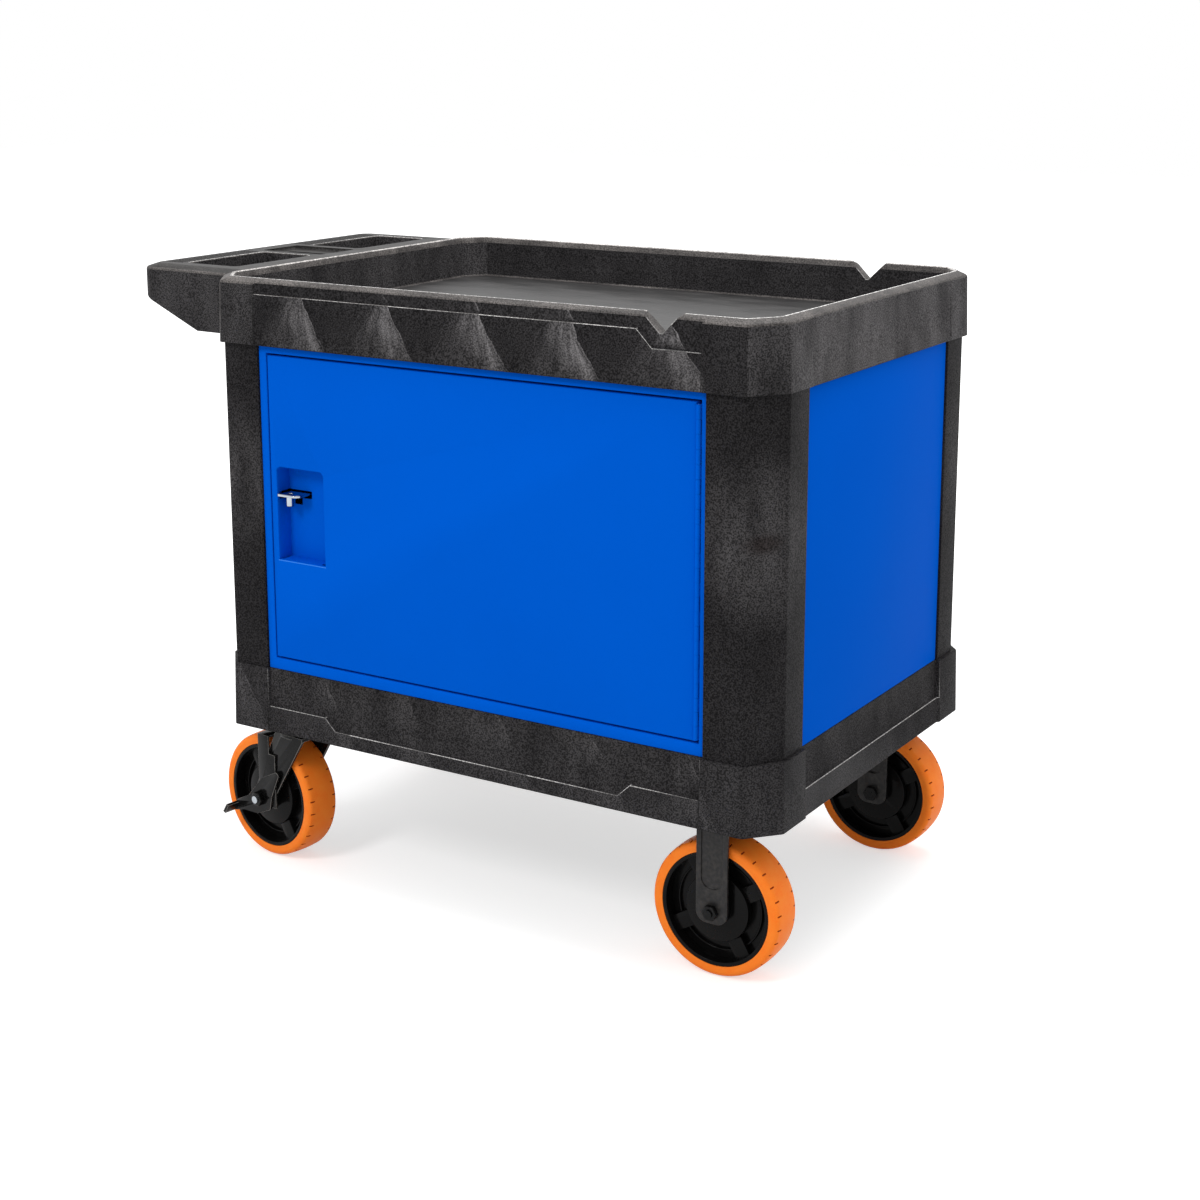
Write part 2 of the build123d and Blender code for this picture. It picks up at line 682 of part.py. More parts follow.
with BuildPart() as lock_pocket:
    with BuildSketch(side_plane(skin_in)) as lip:
        with Locations((pocket_x, pocket_z)):
            RectangleRounded(pocket_width + 2 * pocket_lip, pocket_height + 2 * pocket_lip, pocket_round)
    extrude(lip.sketch, amount=-pocket_sheet)
    with BuildSketch(side_plane(skin_in)) as shell:
        with Locations((pocket_x, pocket_z)):
            Rectangle(pocket_width + 2 * pocket_sheet, pocket_height + 2 * pocket_sheet)
        fillet(shell.vertices().group_by(Axis.Y)[-1], pocket_round + pocket_sheet)
    extrude(shell.sketch, amount=-(pocket_back + pocket_sheet - skin_in))
    with BuildSketch(side_plane(skin_in)) as hollow:
        with Locations((pocket_x, pocket_z)):
            Rectangle(pocket_width, pocket_height)
        fillet(hollow.vertices().group_by(Axis.Y)[-1], pocket_round)
    extrude(hollow.sketch, amount=-(pocket_back - skin_in), mode=Mode.SUBTRACT)
    block((wall_left - 2 * pocket_sheet, skin_in + pocket_sheet + slot_margin, staple_low - slot_under),
          (staple_end + slot_side, pocket_back + 2 * pocket_sheet, staple_high + slot_over), Mode.SUBTRACT)
    bush_room = bush_radius + bush_clear
    block((hole_x - bush_room, pocket_back - pocket_sheet, staple_low - bush_length - bush_clear),
          (hole_x + bush_room, pocket_back + 2 * pocket_sheet, staple_low), Mode.SUBTRACT)
    # A drain slot along the floor's left edge and a drain hole at its right
    floor_top = pocket_z - pocket_height / 2
    block((wall_left, skin_in + drain_margin, floor_top - 2 * pocket_sheet),
          (wall_left + drain_width, pocket_back - drain_margin, floor_top), Mode.SUBTRACT)
    with Locations((body_x + pocket_x + pocket_width / 2 - drain_inset, skin_in + drain_inset, floor_top)):
        Cylinder(drain_radius, 2 * pocket_sheet, align=(Align.CENTER, Align.CENTER, Align.MAX),
                 mode=Mode.SUBTRACT)
save(lock_pocket, "lock_pocket")

# Hat stiffeners behind the door's skin
with BuildPart() as door_stiffeners:
    for x in stiffener_x:
        low = door_bottom + stiffener_clear
        high = door_top - stiffener_clear
        half = stiffener_width / 2
        lip_in = skin_in + stiffener_sheet
        hat_in = skin_in + stiffener_depth
        block((x - half, skin_in, low), (x + half, hat_in, high))
        block((x - half + stiffener_sheet, skin_in, low),
              (x + half - stiffener_sheet, hat_in - stiffener_sheet, high), Mode.SUBTRACT)
        block((x - half - stiffener_lip, skin_in, low), (x - half + stiffener_sheet, lip_in, high))
        block((x + half - stiffener_sheet, skin_in, low), (x + half + stiffener_lip, lip_in, high))
save(door_stiffeners, "door_stiffeners")

# The piano hinge: two leaves whose knuckles take turns on one pin
hinge_x = opening_right - hinge_mouth / 2
hinge_y = -front_face - hinge_proud
hinge_bottom = door_bottom + hinge_clear
hinge_top = door_top - hinge_clear
knuckle_count = int((hinge_top - hinge_bottom) // knuckle_pitch)
knuckle_step = (hinge_top - hinge_bottom) / knuckle_count
tab_start = -front_face + tab_setback
leaf_start = hinge_y + knuckle_radius + knuckle_gap
leaf_end = leaf_start + leaf_depth


def hinge_leaf(seat_low, seat_high, first):
    """One leaf: a strip against its flange, and every second knuckle from the first."""
    with BuildPart() as leaf:
        block((seat_low, leaf_start, hinge_bottom), (seat_high, leaf_end, hinge_top))
        for turn in range(first, knuckle_count, 2):
            low = hinge_bottom + turn * knuckle_step + knuckle_gap / 2
            high = low + knuckle_step - knuckle_gap
            block((seat_low, tab_start, low), (seat_high, leaf_start, high))
            with Locations((body_x + hinge_x, hinge_y, low)):
                Cylinder(knuckle_radius, high - low, align=(Align.CENTER, Align.CENTER, Align.MIN))
        with Locations((body_x + hinge_x, hinge_y, hinge_bottom)):
            Cylinder(hinge_pin_radius + hinge_fit, hinge_top - hinge_bottom,
                     align=(Align.CENTER, Align.CENTER, Align.MIN), mode=Mode.SUBTRACT)
    return leaf


hinge_leaf_frame = hinge_leaf(opening_right - leaf_seat - leaf_thickness, opening_right - leaf_seat, 0)
save(hinge_leaf_frame, "hinge_leaf_frame")
hinge_leaf_door = hinge_leaf(door_right + leaf_seat, door_right + leaf_seat + leaf_thickness, 1)
save(hinge_leaf_door, "hinge_leaf_door")

with BuildPart() as hinge_pin:
    with Locations((body_x + hinge_x, hinge_y, hinge_bottom)):
        Cylinder(hinge_pin_radius, hinge_top - hinge_bottom, align=(Align.CENTER, Align.CENTER, Align.MIN))
save(hinge_pin, "hinge_pin")

# The padlock staple: a plate through the pocket's slot, with a shackle bush, on a bracket behind the frame
arm_front = pocket_back + pocket_sheet + staple_behind
arm_back = arm_front + staple_arm
jamb = -frame_half + panel_sheet

with BuildPart() as lock_staple:
    block((staple_start, staple_front, staple_low), (staple_end, arm_back, staple_high))
    tips = lock_staple.edges().filter_by(Axis.Z).group_by(Axis.Y)[0].sort_by(Axis.X)
    fillet(tips[0], staple_corner)
    fillet(tips[-1], staple_round)
    block((jamb, arm_front, staple_low), (staple_end, arm_back, staple_high))
    block((jamb, arm_front, staple_z - staple_foot / 2),
          (jamb + staple_thickness, arm_back, staple_z + staple_foot / 2))
    with Locations((body_x + hole_x, hole_y, staple_low)):
        Cylinder(bush_radius, bush_length, align=(Align.CENTER, Align.CENTER, Align.MAX))
    with Locations((body_x + hole_x, hole_y, staple_high)):
        Cylinder(staple_hole_radius, staple_thickness + bush_length,
                 align=(Align.CENTER, Align.CENTER, Align.MAX), mode=Mode.SUBTRACT)
save(lock_staple, "lock_staple")

# Bolts up through the caster plates and the base, with nuts on the floor
with BuildPart() as caster_bolts:
    with BuildSketch(Plane.XY.offset(plate_bottom)) as heads:
        with Locations(*bolt_places):
            RegularPolygon(bolt_head_radius, 6)
    extrude(heads.sketch, amount=-bolt_head)
    with Locations(*[(x, y, plate_bottom) for x, y in bolt_places]):
        Cylinder(bolt_radius, base_deck - plate_bottom + bolt_nut + bolt_tip,
                 align=(Align.CENTER, Align.CENTER, Align.MIN))
save(caster_bolts, "caster_bolts")

with BuildPart() as caster_nuts:
    with BuildSketch(Plane.XY.offset(base_deck)) as nuts:
        with Locations(*bolt_places):
            RegularPolygon(bolt_head_radius, 6)
            Circle(bolt_radius + running_fit, mode=Mode.SUBTRACT)
    extrude(nuts.sketch, amount=bolt_nut)
save(caster_nuts, "caster_nuts")


def wheel_place(caster, trail):
    """The wheel's centre, with the axle along y."""
    return caster * Location((-trail, 0, wheel_radius))


def axle_line(wheel):
    """The axis through a wheel's centre along its axle."""
    return Axis(wheel.position, Plane(wheel).y_dir)


# Radii and widths of the wheel, from the tread inwards
tread_width = tyre_width - 2 * shoulder
tyre_inner_radius = wheel_radius - tyre_thickness
tyre_foot_width = tyre_width - 2 * tyre_taper
rim_inner_radius = tyre_inner_radius - rim_wall
rim_width = tyre_foot_width - 2 * rim_step
disc_width = rim_width - 2 * disc_sunk
spoke_thickness = rim_width - 2 * spoke_sunk
boss_width = tyre_width + 2 * boss_proud


def make_tyre(wheel):
    """A tyre with a crowned tread and round shoulders, drawn across its section."""
    half = tread_width / 2
    edge = wheel_radius - tread_crown
    side = half + shoulder
    bend = shoulder / 2 ** 0.5
    with BuildPart() as tyre:
        with BuildSketch(placed(wheel, Plane.YZ)):
            with BuildLine():
                ThreePointArc((-half, edge), (0, wheel_radius), (half, edge))
                ThreePointArc((half, edge), (half + bend, edge - shoulder + bend), (side, edge - shoulder))
                Polyline((side, edge - shoulder), (tyre_foot_width / 2, tyre_inner_radius),
                         (-tyre_foot_width / 2, tyre_inner_radius), (-side, edge - shoulder))
                ThreePointArc((-side, edge - shoulder), (-half - bend, edge - shoulder + bend), (-half, edge))
            make_face()
        revolve(axis=axle_line(wheel))
    return tyre


def make_hub(wheel):
    """A moulded hub: a rim, a ridged web with block spokes, a raised disc and a boss with its bore."""
    ridge_top = web_thickness / 2 + ridge_height
    ridge_inner = ridge_radius - ridge_width / 2
    ridge_outer = ridge_radius + ridge_width / 2
    half_profile = [
        (boss_width / 2, bearing_radius), (boss_width / 2, boss_radius), (disc_width / 2, boss_radius),
        (disc_width / 2, disc_radius), (web_thickness / 2, disc_radius), (web_thickness / 2, ridge_inner),
        (ridge_top, ridge_inner), (ridge_top, ridge_outer), (web_thickness / 2, ridge_outer),
        (web_thickness / 2, rim_inner_radius), (rim_width / 2, rim_inner_radius),
        (rim_width / 2, tyre_inner_radius),
    ]
    mirrored = [(-a, r) for a, r in reversed(half_profile)]
    with BuildPart() as hub:
        with BuildSketch(placed(wheel, Plane.YZ)):
            Polygon(*half_profile, *mirrored, align=None)
        revolve(axis=axle_line(wheel))
        with BuildSketch(placed(wheel, Plane.XZ)) as spokes:
            with PolarLocations((disc_radius + rim_inner_radius) / 2, spoke_count, start_angle=spoke_start):
                Rectangle(rim_inner_radius - disc_radius + 2 * running_fit, spoke_width)
        extrude(spokes.sketch, amount=spoke_thickness / 2, both=True)
    return hub


def make_bearings(wheel):
    """Two bearing bushes, pressed into the ends of the hub's bore."""
    outer_end = fork_inside / 2 - side_play
    middle = outer_end - bearing_length / 2
    bore = axle_radius + running_fit
    with BuildPart() as bearings:
        with BuildSketch(placed(wheel, Plane.YZ)):
            for side in (-1, 1):
                with Locations((side * middle, (bore + bearing_radius) / 2)):
                    Rectangle(bearing_length, bearing_radius - bore)
        revolve(axis=axle_line(wheel))
    return bearings


def make_axle(wheel, outside, stack):
    """An axle bolt with its head inside and its thread outside, over the stack of pieces out there."""
    inner = fork_inside / 2 + leg_thickness
    outer = inner + stack + axle_nut + axle_tip
    with BuildPart() as axle:
        with BuildSketch(placed(wheel, Plane.XZ.offset(outside * inner))):
            RegularPolygon(nut_radius, 6)
        extrude(amount=outside * axle_head)
        with BuildSketch(placed(wheel, Plane.XZ.offset(outside * inner))):
            Circle(axle_radius)
        extrude(amount=-outside * (inner + outer))
    return axle


def make_nut(wheel, outside, stack):
    """The nut on an axle's thread."""
    seat = fork_inside / 2 + leg_thickness + stack
    with BuildPart() as nut:
        with BuildSketch(placed(wheel, Plane.XZ.offset(-outside * seat))):
            RegularPolygon(nut_radius, 6)
            Circle(axle_radius + running_fit, mode=Mode.SUBTRACT)
        extrude(amount=-outside * axle_nut)
    return nut


def make_rigid_fork(caster, wheel):
    """A fixed fork: a bolted top plate and two legs with a sunk pressing, holed for the axle."""
    leg_top = plate_bottom - wheel_radius
    with BuildPart() as fork:
        with BuildSketch(placed(caster, Plane.XY.offset(plate_bottom))) as top:
            RectangleRounded(plate_x, plate_y, corner_round)
            with GridLocations(2 * bolt_x, 2 * bolt_y, 2, 2):
                Circle(bolt_radius + bolt_fit, mode=Mode.SUBTRACT)
        extrude(top.sketch, amount=plate_thickness)
        for side in (-1, 1):
            with BuildSketch(placed(wheel, Plane.XZ.offset(side * fork_inside / 2))) as leg:
                with Locations((0, (leg_top - rigid_leg_below) / 2)):
                    Rectangle(rigid_leg_width, leg_top + rigid_leg_below)
                fillet(leg.vertices().group_by(Axis.Y)[0], rigid_leg_round)
                Circle(axle_radius + running_fit, mode=Mode.SUBTRACT)
            extrude(leg.sketch, amount=side * leg_thickness)
            leg_face = Plane.XZ.offset(side * (fork_inside / 2 + leg_thickness))
            with BuildSketch(placed(wheel, leg_face)) as pressing:
                with Locations((0, (leg_top + pressing_above) / 2)):
                    Rectangle(pressing_width, leg_top - pressing_above)
                fillet(pressing.vertices().group_by(Axis.Y)[0], pressing_round)
            extrude(pressing.sketch, amount=-side * pressing_depth, mode=Mode.SUBTRACT)
    return fork


for name, (caster, outside) in rigid_casters.items():
    wheel = wheel_place(caster, 0)
    save(make_rigid_fork(caster, wheel), f"rigid_fork_{name}")
    save(make_axle(wheel, outside, 0), f"rigid_axle_{name}")
    save(make_nut(wheel, outside, 0), f"rigid_axle_nut_{name}")
    save(make_tyre(wheel), f"rigid_tyre_{name}")
    save(make_hub(wheel), f"rigid_hub_{name}")
    save(make_bearings(wheel), f"rigid_bearings_{name}")

# Swivel casters: levels of the races, the balls and the fork's crown
crown_top = caster_height - crown_drop
crown_bottom = crown_top - crown_thickness
ball_level = (plate_bottom - upper_ring + crown_top + lower_ring) / 2
lever_start = fork_inside / 2 + leg_thickness + blade_gap + blade_thickness + lever_gap
brake_stack = lever_start + lever_thickness + lever_gap - fork_inside / 2 - leg_thickness


def make_swivel_plate(place):
    """A bolted plate with the upper race under it and a seat for the kingpin's head."""
    with BuildPart() as plate:
        with BuildSketch(placed(place, Plane.XY.offset(plate_bottom))) as top:
            RectangleRounded(plate_x, plate_y, corner_round)
            with GridLocations(2 * bolt_x, 2 * bolt_y, 2, 2):
                Circle(bolt_radius + bolt_fit, mode=Mode.SUBTRACT)
        extrude(top.sketch, amount=plate_thickness)
        with BuildSketch(placed(place, Plane.XY.offset(plate_bottom))) as ring:
            Circle(race_radius + race_ring)
            Circle(race_radius - race_ring, mode=Mode.SUBTRACT)
        extrude(ring.sketch, amount=-upper_ring)
        with Locations(place * Location((0, 0, ball_level))):
            Torus(race_radius, ball_radius + ball_fit, mode=Mode.SUBTRACT)
        with Locations(place * Location((0, 0, caster_height))):
            Cylinder(kingpin_radius + running_fit, plate_thickness,
                     align=(Align.CENTER, Align.CENTER, Align.MAX), mode=Mode.SUBTRACT)
            Cylinder(kingpin_head_radius + running_fit, kingpin_head,
                     align=(Align.CENTER, Align.CENTER, Align.MAX), mode=Mode.SUBTRACT)
    return plate


def make_kingpin(place):
    """The pin that holds the fork up, riveted over in the plate and with a nut under the crown."""
    nut_top = crown_bottom - side_play
    with BuildPart() as kingpin:
        with Locations(place * Location((0, 0, caster_height))):
            Cylinder(kingpin_head_radius, kingpin_head, align=(Align.CENTER, Align.CENTER, Align.MAX))
            Cylinder(kingpin_radius, caster_height - nut_top + kingpin_nut,
                     align=(Align.CENTER, Align.CENTER, Align.MAX))
        with BuildSketch(placed(place, Plane.XY.offset(nut_top))) as nut:
            RegularPolygon(kingpin_head_radius, 6)
        extrude(nut.sketch, amount=-kingpin_nut)
    return kingpin


def make_balls(caster):
    """The ring of balls between the races."""
    with BuildPart() as balls:
        with Locations(caster * Location((0, 0, ball_level))):
            with PolarLocations(race_radius, ball_count):
                Sphere(ball_radius)
    return balls


def make_swivel_fork(caster, wheel):
    """A swivel fork: a crown with the lower race, and two legs raked back to the axle."""
    crown_lift = crown_top - wheel_radius
    with BuildPart() as fork:
        with BuildSketch(placed(caster, Plane.XY.offset(crown_bottom))) as crown:
            with Locations(((crown_front - crown_back) / 2, 0)):
                Rectangle(crown_front + crown_back, fork_inside + 2 * leg_thickness)
            Circle(race_radius + race_ring)
        extrude(crown.sketch, amount=crown_thickness)
        with BuildSketch(placed(caster, Plane.XY.offset(crown_top))) as ring:
            Circle(race_radius + race_ring - 2 * side_play)
        extrude(ring.sketch, amount=lower_ring)
        with Locations(caster * Location((0, 0, ball_level))):
            Torus(race_radius, ball_radius + ball_fit, mode=Mode.SUBTRACT)
        with Locations(caster * Location((0, 0, crown_bottom))):
            Cylinder(kingpin_radius + running_fit, crown_thickness + lower_ring,
                     align=(Align.CENTER, Align.CENTER, Align.MIN), mode=Mode.SUBTRACT)
        for side in (-1, 1):
            with BuildSketch(placed(wheel, Plane.XZ.offset(side * fork_inside / 2))) as leg:
                Circle(leg_end_radius)
                crown_middle = swivel_trail + (crown_front - crown_back) / 2
                with Locations((crown_middle, crown_lift - crown_thickness / 2)):
                    Rectangle(crown_front + crown_back, crown_thickness)
                make_hull()
                Circle(axle_radius + running_fit, mode=Mode.SUBTRACT)
            extrude(leg.sketch, amount=side * leg_thickness)
    return fork


def make_brake_blade(wheel, outside):
    """A strap slotted on the axle, turned in over the tyre to carry the shoe."""
    start = fork_inside / 2 + leg_thickness + blade_gap
    shoe_low = wheel_radius + shoe_clear
    shoe_high = shoe_low + blade_thickness
    shoe_middle = outside * (start + blade_thickness - shoe_reach / 2)
    blade_shoulder = wheel_radius - blade_shoulder_drop
    slot_width = 2 * (axle_radius + side_play)
    with BuildPart() as blade:
        with BuildSketch(placed(wheel, Plane.XZ.offset(-outside * start))) as strap:
            Polygon((-blade_back, -blade_below), (blade_low_front, -blade_below),
                    (blade_low_front, blade_shoulder), (blade_high_front, blade_shoulder),
                    (blade_high_front, shoe_high), (-blade_back, shoe_high), align=None)
            with Locations((0, blade_travel / 2)):
                SlotOverall(slot_width + 2 * blade_travel, slot_width, rotation=90, mode=Mode.SUBTRACT)
        extrude(strap.sketch, amount=-outside * blade_thickness)
        with BuildSketch(placed(wheel, Plane.XY.offset(shoe_low))) as shoe:
            with Locations(((blade_high_front - blade_back) / 2, shoe_middle)):
                Rectangle(blade_high_front + blade_back, shoe_reach)
        extrude(shoe.sketch, amount=blade_thickness)
    return blade


def make_brake_lever(wheel, outside):
    """A stamped lever that turns on the axle, with its pedal turned out at the end."""
    with BuildPart() as lever:
        with BuildSketch(placed(wheel, Plane.XZ.offset(-outside * lever_start))) as plate:
            Polygon(*lever_outline, align=None)
            fillet(plate.vertices(), lever_round)
            Circle(axle_radius + running_fit, mode=Mode.SUBTRACT)
        extrude(plate.sketch, amount=-outside * lever_thickness)
        with BuildSketch(placed(wheel, Plane.XZ.offset(-outside * lever_start))) as tread:
            Polygon(*pedal_outline, align=None)
        extrude(tread.sketch, amount=-outside * (lever_thickness + pedal_width))
    return lever


for name, (caster, outside) in swivel_casters.items():
    wheel = wheel_place(caster, swivel_trail)
    plate_place = Location(caster.position)
    save(make_swivel_plate(plate_place), f"swivel_plate_{name}")
    save(make_kingpin(plate_place), f"kingpin_{name}")
    save(make_balls(caster), f"swivel_balls_{name}")
    save(make_swivel_fork(caster, wheel), f"swivel_fork_{name}")
    save(make_axle(wheel, outside, brake_stack), f"swivel_axle_{name}")
    save(make_nut(wheel, outside, brake_stack), f"swivel_axle_nut_{name}")
    save(make_tyre(wheel), f"swivel_tyre_{name}")
    save(make_hub(wheel), f"swivel_hub_{name}")
    save(make_bearings(wheel), f"swivel_bearings_{name}")
    save(make_brake_blade(wheel, outside), f"brake_blade_{name}")
    save(make_brake_lever(wheel, outside), f"brake_lever_{name}")
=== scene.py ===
import json
from math import atan2, pi, radians

import bpy
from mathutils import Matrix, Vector

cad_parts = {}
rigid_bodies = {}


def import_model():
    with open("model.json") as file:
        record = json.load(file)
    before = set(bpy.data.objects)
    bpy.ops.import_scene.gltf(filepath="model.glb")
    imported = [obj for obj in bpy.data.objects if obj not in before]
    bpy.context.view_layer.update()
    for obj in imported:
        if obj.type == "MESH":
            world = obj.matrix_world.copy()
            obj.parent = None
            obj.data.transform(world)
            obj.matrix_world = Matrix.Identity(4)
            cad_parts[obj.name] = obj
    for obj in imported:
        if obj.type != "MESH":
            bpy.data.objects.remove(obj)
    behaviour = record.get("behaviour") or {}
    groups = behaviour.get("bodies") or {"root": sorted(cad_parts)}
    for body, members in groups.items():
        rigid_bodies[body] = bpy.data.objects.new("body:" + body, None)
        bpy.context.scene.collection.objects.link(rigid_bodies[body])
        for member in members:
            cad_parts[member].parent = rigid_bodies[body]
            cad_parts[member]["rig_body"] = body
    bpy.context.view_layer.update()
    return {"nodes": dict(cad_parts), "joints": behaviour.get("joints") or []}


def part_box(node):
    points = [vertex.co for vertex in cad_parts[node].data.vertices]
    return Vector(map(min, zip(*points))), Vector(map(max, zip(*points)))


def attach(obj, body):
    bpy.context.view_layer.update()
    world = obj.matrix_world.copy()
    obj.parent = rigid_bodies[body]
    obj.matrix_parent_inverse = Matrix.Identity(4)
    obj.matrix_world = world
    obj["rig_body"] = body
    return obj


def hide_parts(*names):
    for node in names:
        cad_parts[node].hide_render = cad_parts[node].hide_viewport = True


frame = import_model()

# The base tray: one structural-foam polyethylene moulding, charcoal right through, with a sunk floor and a
# skirt. The mould rounds its edges, and the foaming melt leaves flow marks on its walls. The edges below its
# rim are painted paler where they face up, a painted highlight of the light from above.
base_low, base_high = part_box("base_tray")
base_edge_radius = 0.0010
base_edge_length = 0.0032
base_lobe = 0.160
base_first_lobe = -0.185
base_paleness = 0.11


def linear(code):
    """An sRGB hex colour as the linear values that a shader works in."""
    parts = [int(code[i:i + 2], 16) / 255 for i in (1, 3, 5)]
    return [part / 12.92 if part <= 0.04045 else ((part + 0.055) / 1.055) ** 2.4 for part in parts] + [1.0]


def add_node(owner, kind, settings=None, output=0):
    """Add a node with its options, values and links, and give one of its outputs."""
    node = owner.node_tree.nodes.new(kind)
    for key, value in (settings or {}).items():
        if isinstance(value, bpy.types.NodeSocket):
            owner.node_tree.links.new(value, node.inputs[key])
        elif isinstance(key, int) or key in node.inputs:
            node.inputs[key].default_value = value
        else:
            setattr(node, key, value)
    return node.outputs[output] if node.outputs else None


def new_material(name):
    """A material without nodes, and the place on the piece that its patterns are drawn by."""
    material = bpy.data.materials.new(name)
    material.use_nodes = True
    material.node_tree.nodes.clear()
    return material, add_node(material, "ShaderNodeTexCoord", {}, "Object")


def flow_marks(material, place, span, between, lobe, first):
    """How far the melt foamed at each place on a long outer wall, and how far past a crisp line it lies.

    The foamed lobes stand side by side like hills, from the first one's top on, with a crisp line down the
    right flank, a faint one round the left and streaks that fan out. Between two hills the skin stays dark.
    """
    line = 0.010
    waver = 0.03
    x = add_node(material, "ShaderNodeSeparateXYZ", {0: place}, "X")
    normal = add_node(material, "ShaderNodeNewGeometry", {}, "Normal")
    sideways = add_node(material, "ShaderNodeSeparateXYZ", {0: normal}, "Y")
    outward = add_node(material, "ShaderNodeMath", {
        "operation": "MULTIPLY", 0: sideways, 1: x.node.outputs["Y"]})
    on_wall = add_node(material, "ShaderNodeMapRange", {0: outward, 1: 0.25, 2: 0.32})
    begun = add_node(material, "ShaderNodeMapRange", {0: x, 1: between[0] - line, 2: between[0]})
    ended = add_node(material, "ShaderNodeMapRange", {
        0: x, 1: between[1], 2: between[1] + line, 3: 1.0, 4: 0.0})
    along = add_node(material, "ShaderNodeMath", {"operation": "MULTIPLY", 0: begun, 1: ended})
    on_panel = add_node(material, "ShaderNodeMath", {"operation": "MULTIPLY", 0: on_wall, 1: along})
    count = add_node(material, "ShaderNodeMath", {
        "operation": "MULTIPLY_ADD", 0: x, 1: 1 / lobe, 2: 0.5 - first / lobe})
    number = add_node(material, "ShaderNodeMath", {"operation": "FLOOR", 0: count})
    own = add_node(material, "ShaderNodeTexWhiteNoise", {"noise_dimensions": "1D", "W": number}, "Value")
    share = add_node(material, "ShaderNodeMath", {"operation": "FRACT", 0: count})
    wavers = add_node(material, "ShaderNodeTexNoise", {"Vector": place, "Scale": 1 / waver, "Detail": 2.0})
    wavering = add_node(material, "ShaderNodeMapRange", {0: wavers, 3: -0.56, 4: -0.44})
    offset = add_node(material, "ShaderNodeMath", {"operation": "ADD", 0: share, 1: wavering})
    depth = add_node(material, "ShaderNodeMapRange", {
        0: x.node.outputs["Z"], 1: span[0], 2: span[1], 3: 1.0, 4: 0.0})
    right_width = add_node(material, "ShaderNodeMapRange", {0: own, 3: 0.33, 4: 0.47})
    right = add_node(material, "ShaderNodeMath", {"operation": "MULTIPLY", 0: depth, 1: right_width})
    left_curve = add_node(material, "ShaderNodeMath", {"operation": "POWER", 0: depth, 1: 0.5})
    past_line = add_node(material, "ShaderNodeMath", {"operation": "SUBTRACT", 0: right, 1: offset})
    past_left = add_node(material, "ShaderNodeMath", {
        "operation": "MULTIPLY_ADD", 0: left_curve, 1: 0.46, 2: offset})
    soft_edge = add_node(material, "ShaderNodeMapRange", {0: depth, 1: 0.2, 3: 0.010, 4: 0.11})
    inside = add_node(material, "ShaderNodeMath", {
        "operation": "DIVIDE", "use_clamp": True, 0: past_line, 1: soft_edge})
    flank = add_node(material, "ShaderNodeMapRange", {0: past_left, 1: 0.0, 2: 0.16})
    toward_line = add_node(material, "ShaderNodeMapRange", {0: past_line, 1: 0.0, 2: 0.40, 3: 1.0, 4: 0.14})
    swell = add_node(material, "ShaderNodeMapRange", {0: depth, 3: 0.25, 4: 2.45})
    low_down = add_node(material, "ShaderNodeMath", {"operation": "SINE", 0: swell})
    over_line = add_node(material, "ShaderNodeMapRange", {0: past_line, 1: 0.0, 2: line})
    beyond = add_node(material, "ShaderNodeMapRange", {0: past_line, 1: line, 2: 2 * line, 3: 1.0, 4: 0.0})
    thin = add_node(material, "ShaderNodeMath", {"operation": "MULTIPLY", 0: over_line, 1: beyond})
    fading = add_node(material, "ShaderNodeMapRange", {0: depth, 1: 0.35, 2: 1.0, 3: 1.0, 4: 0.2})
    crisp = add_node(material, "ShaderNodeMath", {"operation": "MULTIPLY", 0: thin, 1: fading})
    over_left = add_node(material, "ShaderNodeMapRange", {0: past_left, 1: 0.0, 2: line})
    under_left = add_node(material, "ShaderNodeMapRange", {
        0: past_left, 1: line, 2: 2 * line, 3: 1.0, 4: 0.0})
    faint = add_node(material, "ShaderNodeMath", {"operation": "MULTIPLY", 0: over_left, 1: under_left})
    fan_width = add_node(material, "ShaderNodeMath", {"operation": "ADD", 0: right, 1: 0.12})
    fan = add_node(material, "ShaderNodeMath", {"operation": "DIVIDE", 0: offset, 1: fan_width})
    fan_place = add_node(material, "ShaderNodeCombineXYZ", {0: fan, 1: number, 2: depth})
    fan_scaled = add_node(material, "ShaderNodeVectorMath", {
        "operation": "MULTIPLY", 0: fan_place, 1: (7.0, 3.7, 1.8)})
    streaks = add_node(material, "ShaderNodeTexNoise", {"Vector": fan_scaled, "Scale": 1.0, "Detail": 5.0})
    streaked = add_node(material, "ShaderNodeMapRange", {0: streaks, 1: 0.30, 2: 0.70, 3: 0.2, 4: 1.5})
    hill = add_node(material, "ShaderNodeMath", {"operation": "MULTIPLY", 0: inside, 1: flank})
    lit_hill = add_node(material, "ShaderNodeMath", {"operation": "MULTIPLY", 0: hill, 1: toward_line})
    low_hill = add_node(material, "ShaderNodeMath", {"operation": "MULTIPLY", 0: lit_hill, 1: low_down})
    fanned = add_node(material, "ShaderNodeMath", {"operation": "MULTIPLY", 0: low_hill, 1: streaked})
    lined = add_node(material, "ShaderNodeMath", {"operation": "MULTIPLY_ADD", 0: crisp, 1: 0.9, 2: fanned})
    edged = add_node(material, "ShaderNodeMath", {"operation": "MULTIPLY_ADD", 0: faint, 1: 0.10, 2: lined})
    foamed = add_node(material, "ShaderNodeMath", {"operation": "MULTIPLY", 0: edged, 1: on_panel})
    ahead = add_node(material, "ShaderNodeMath", {"operation": "SUBTRACT", 0: offset, 1: right})
    return foamed, add_node(material, "ShaderNodeMath", {"operation": "FRACT", 0: ahead})


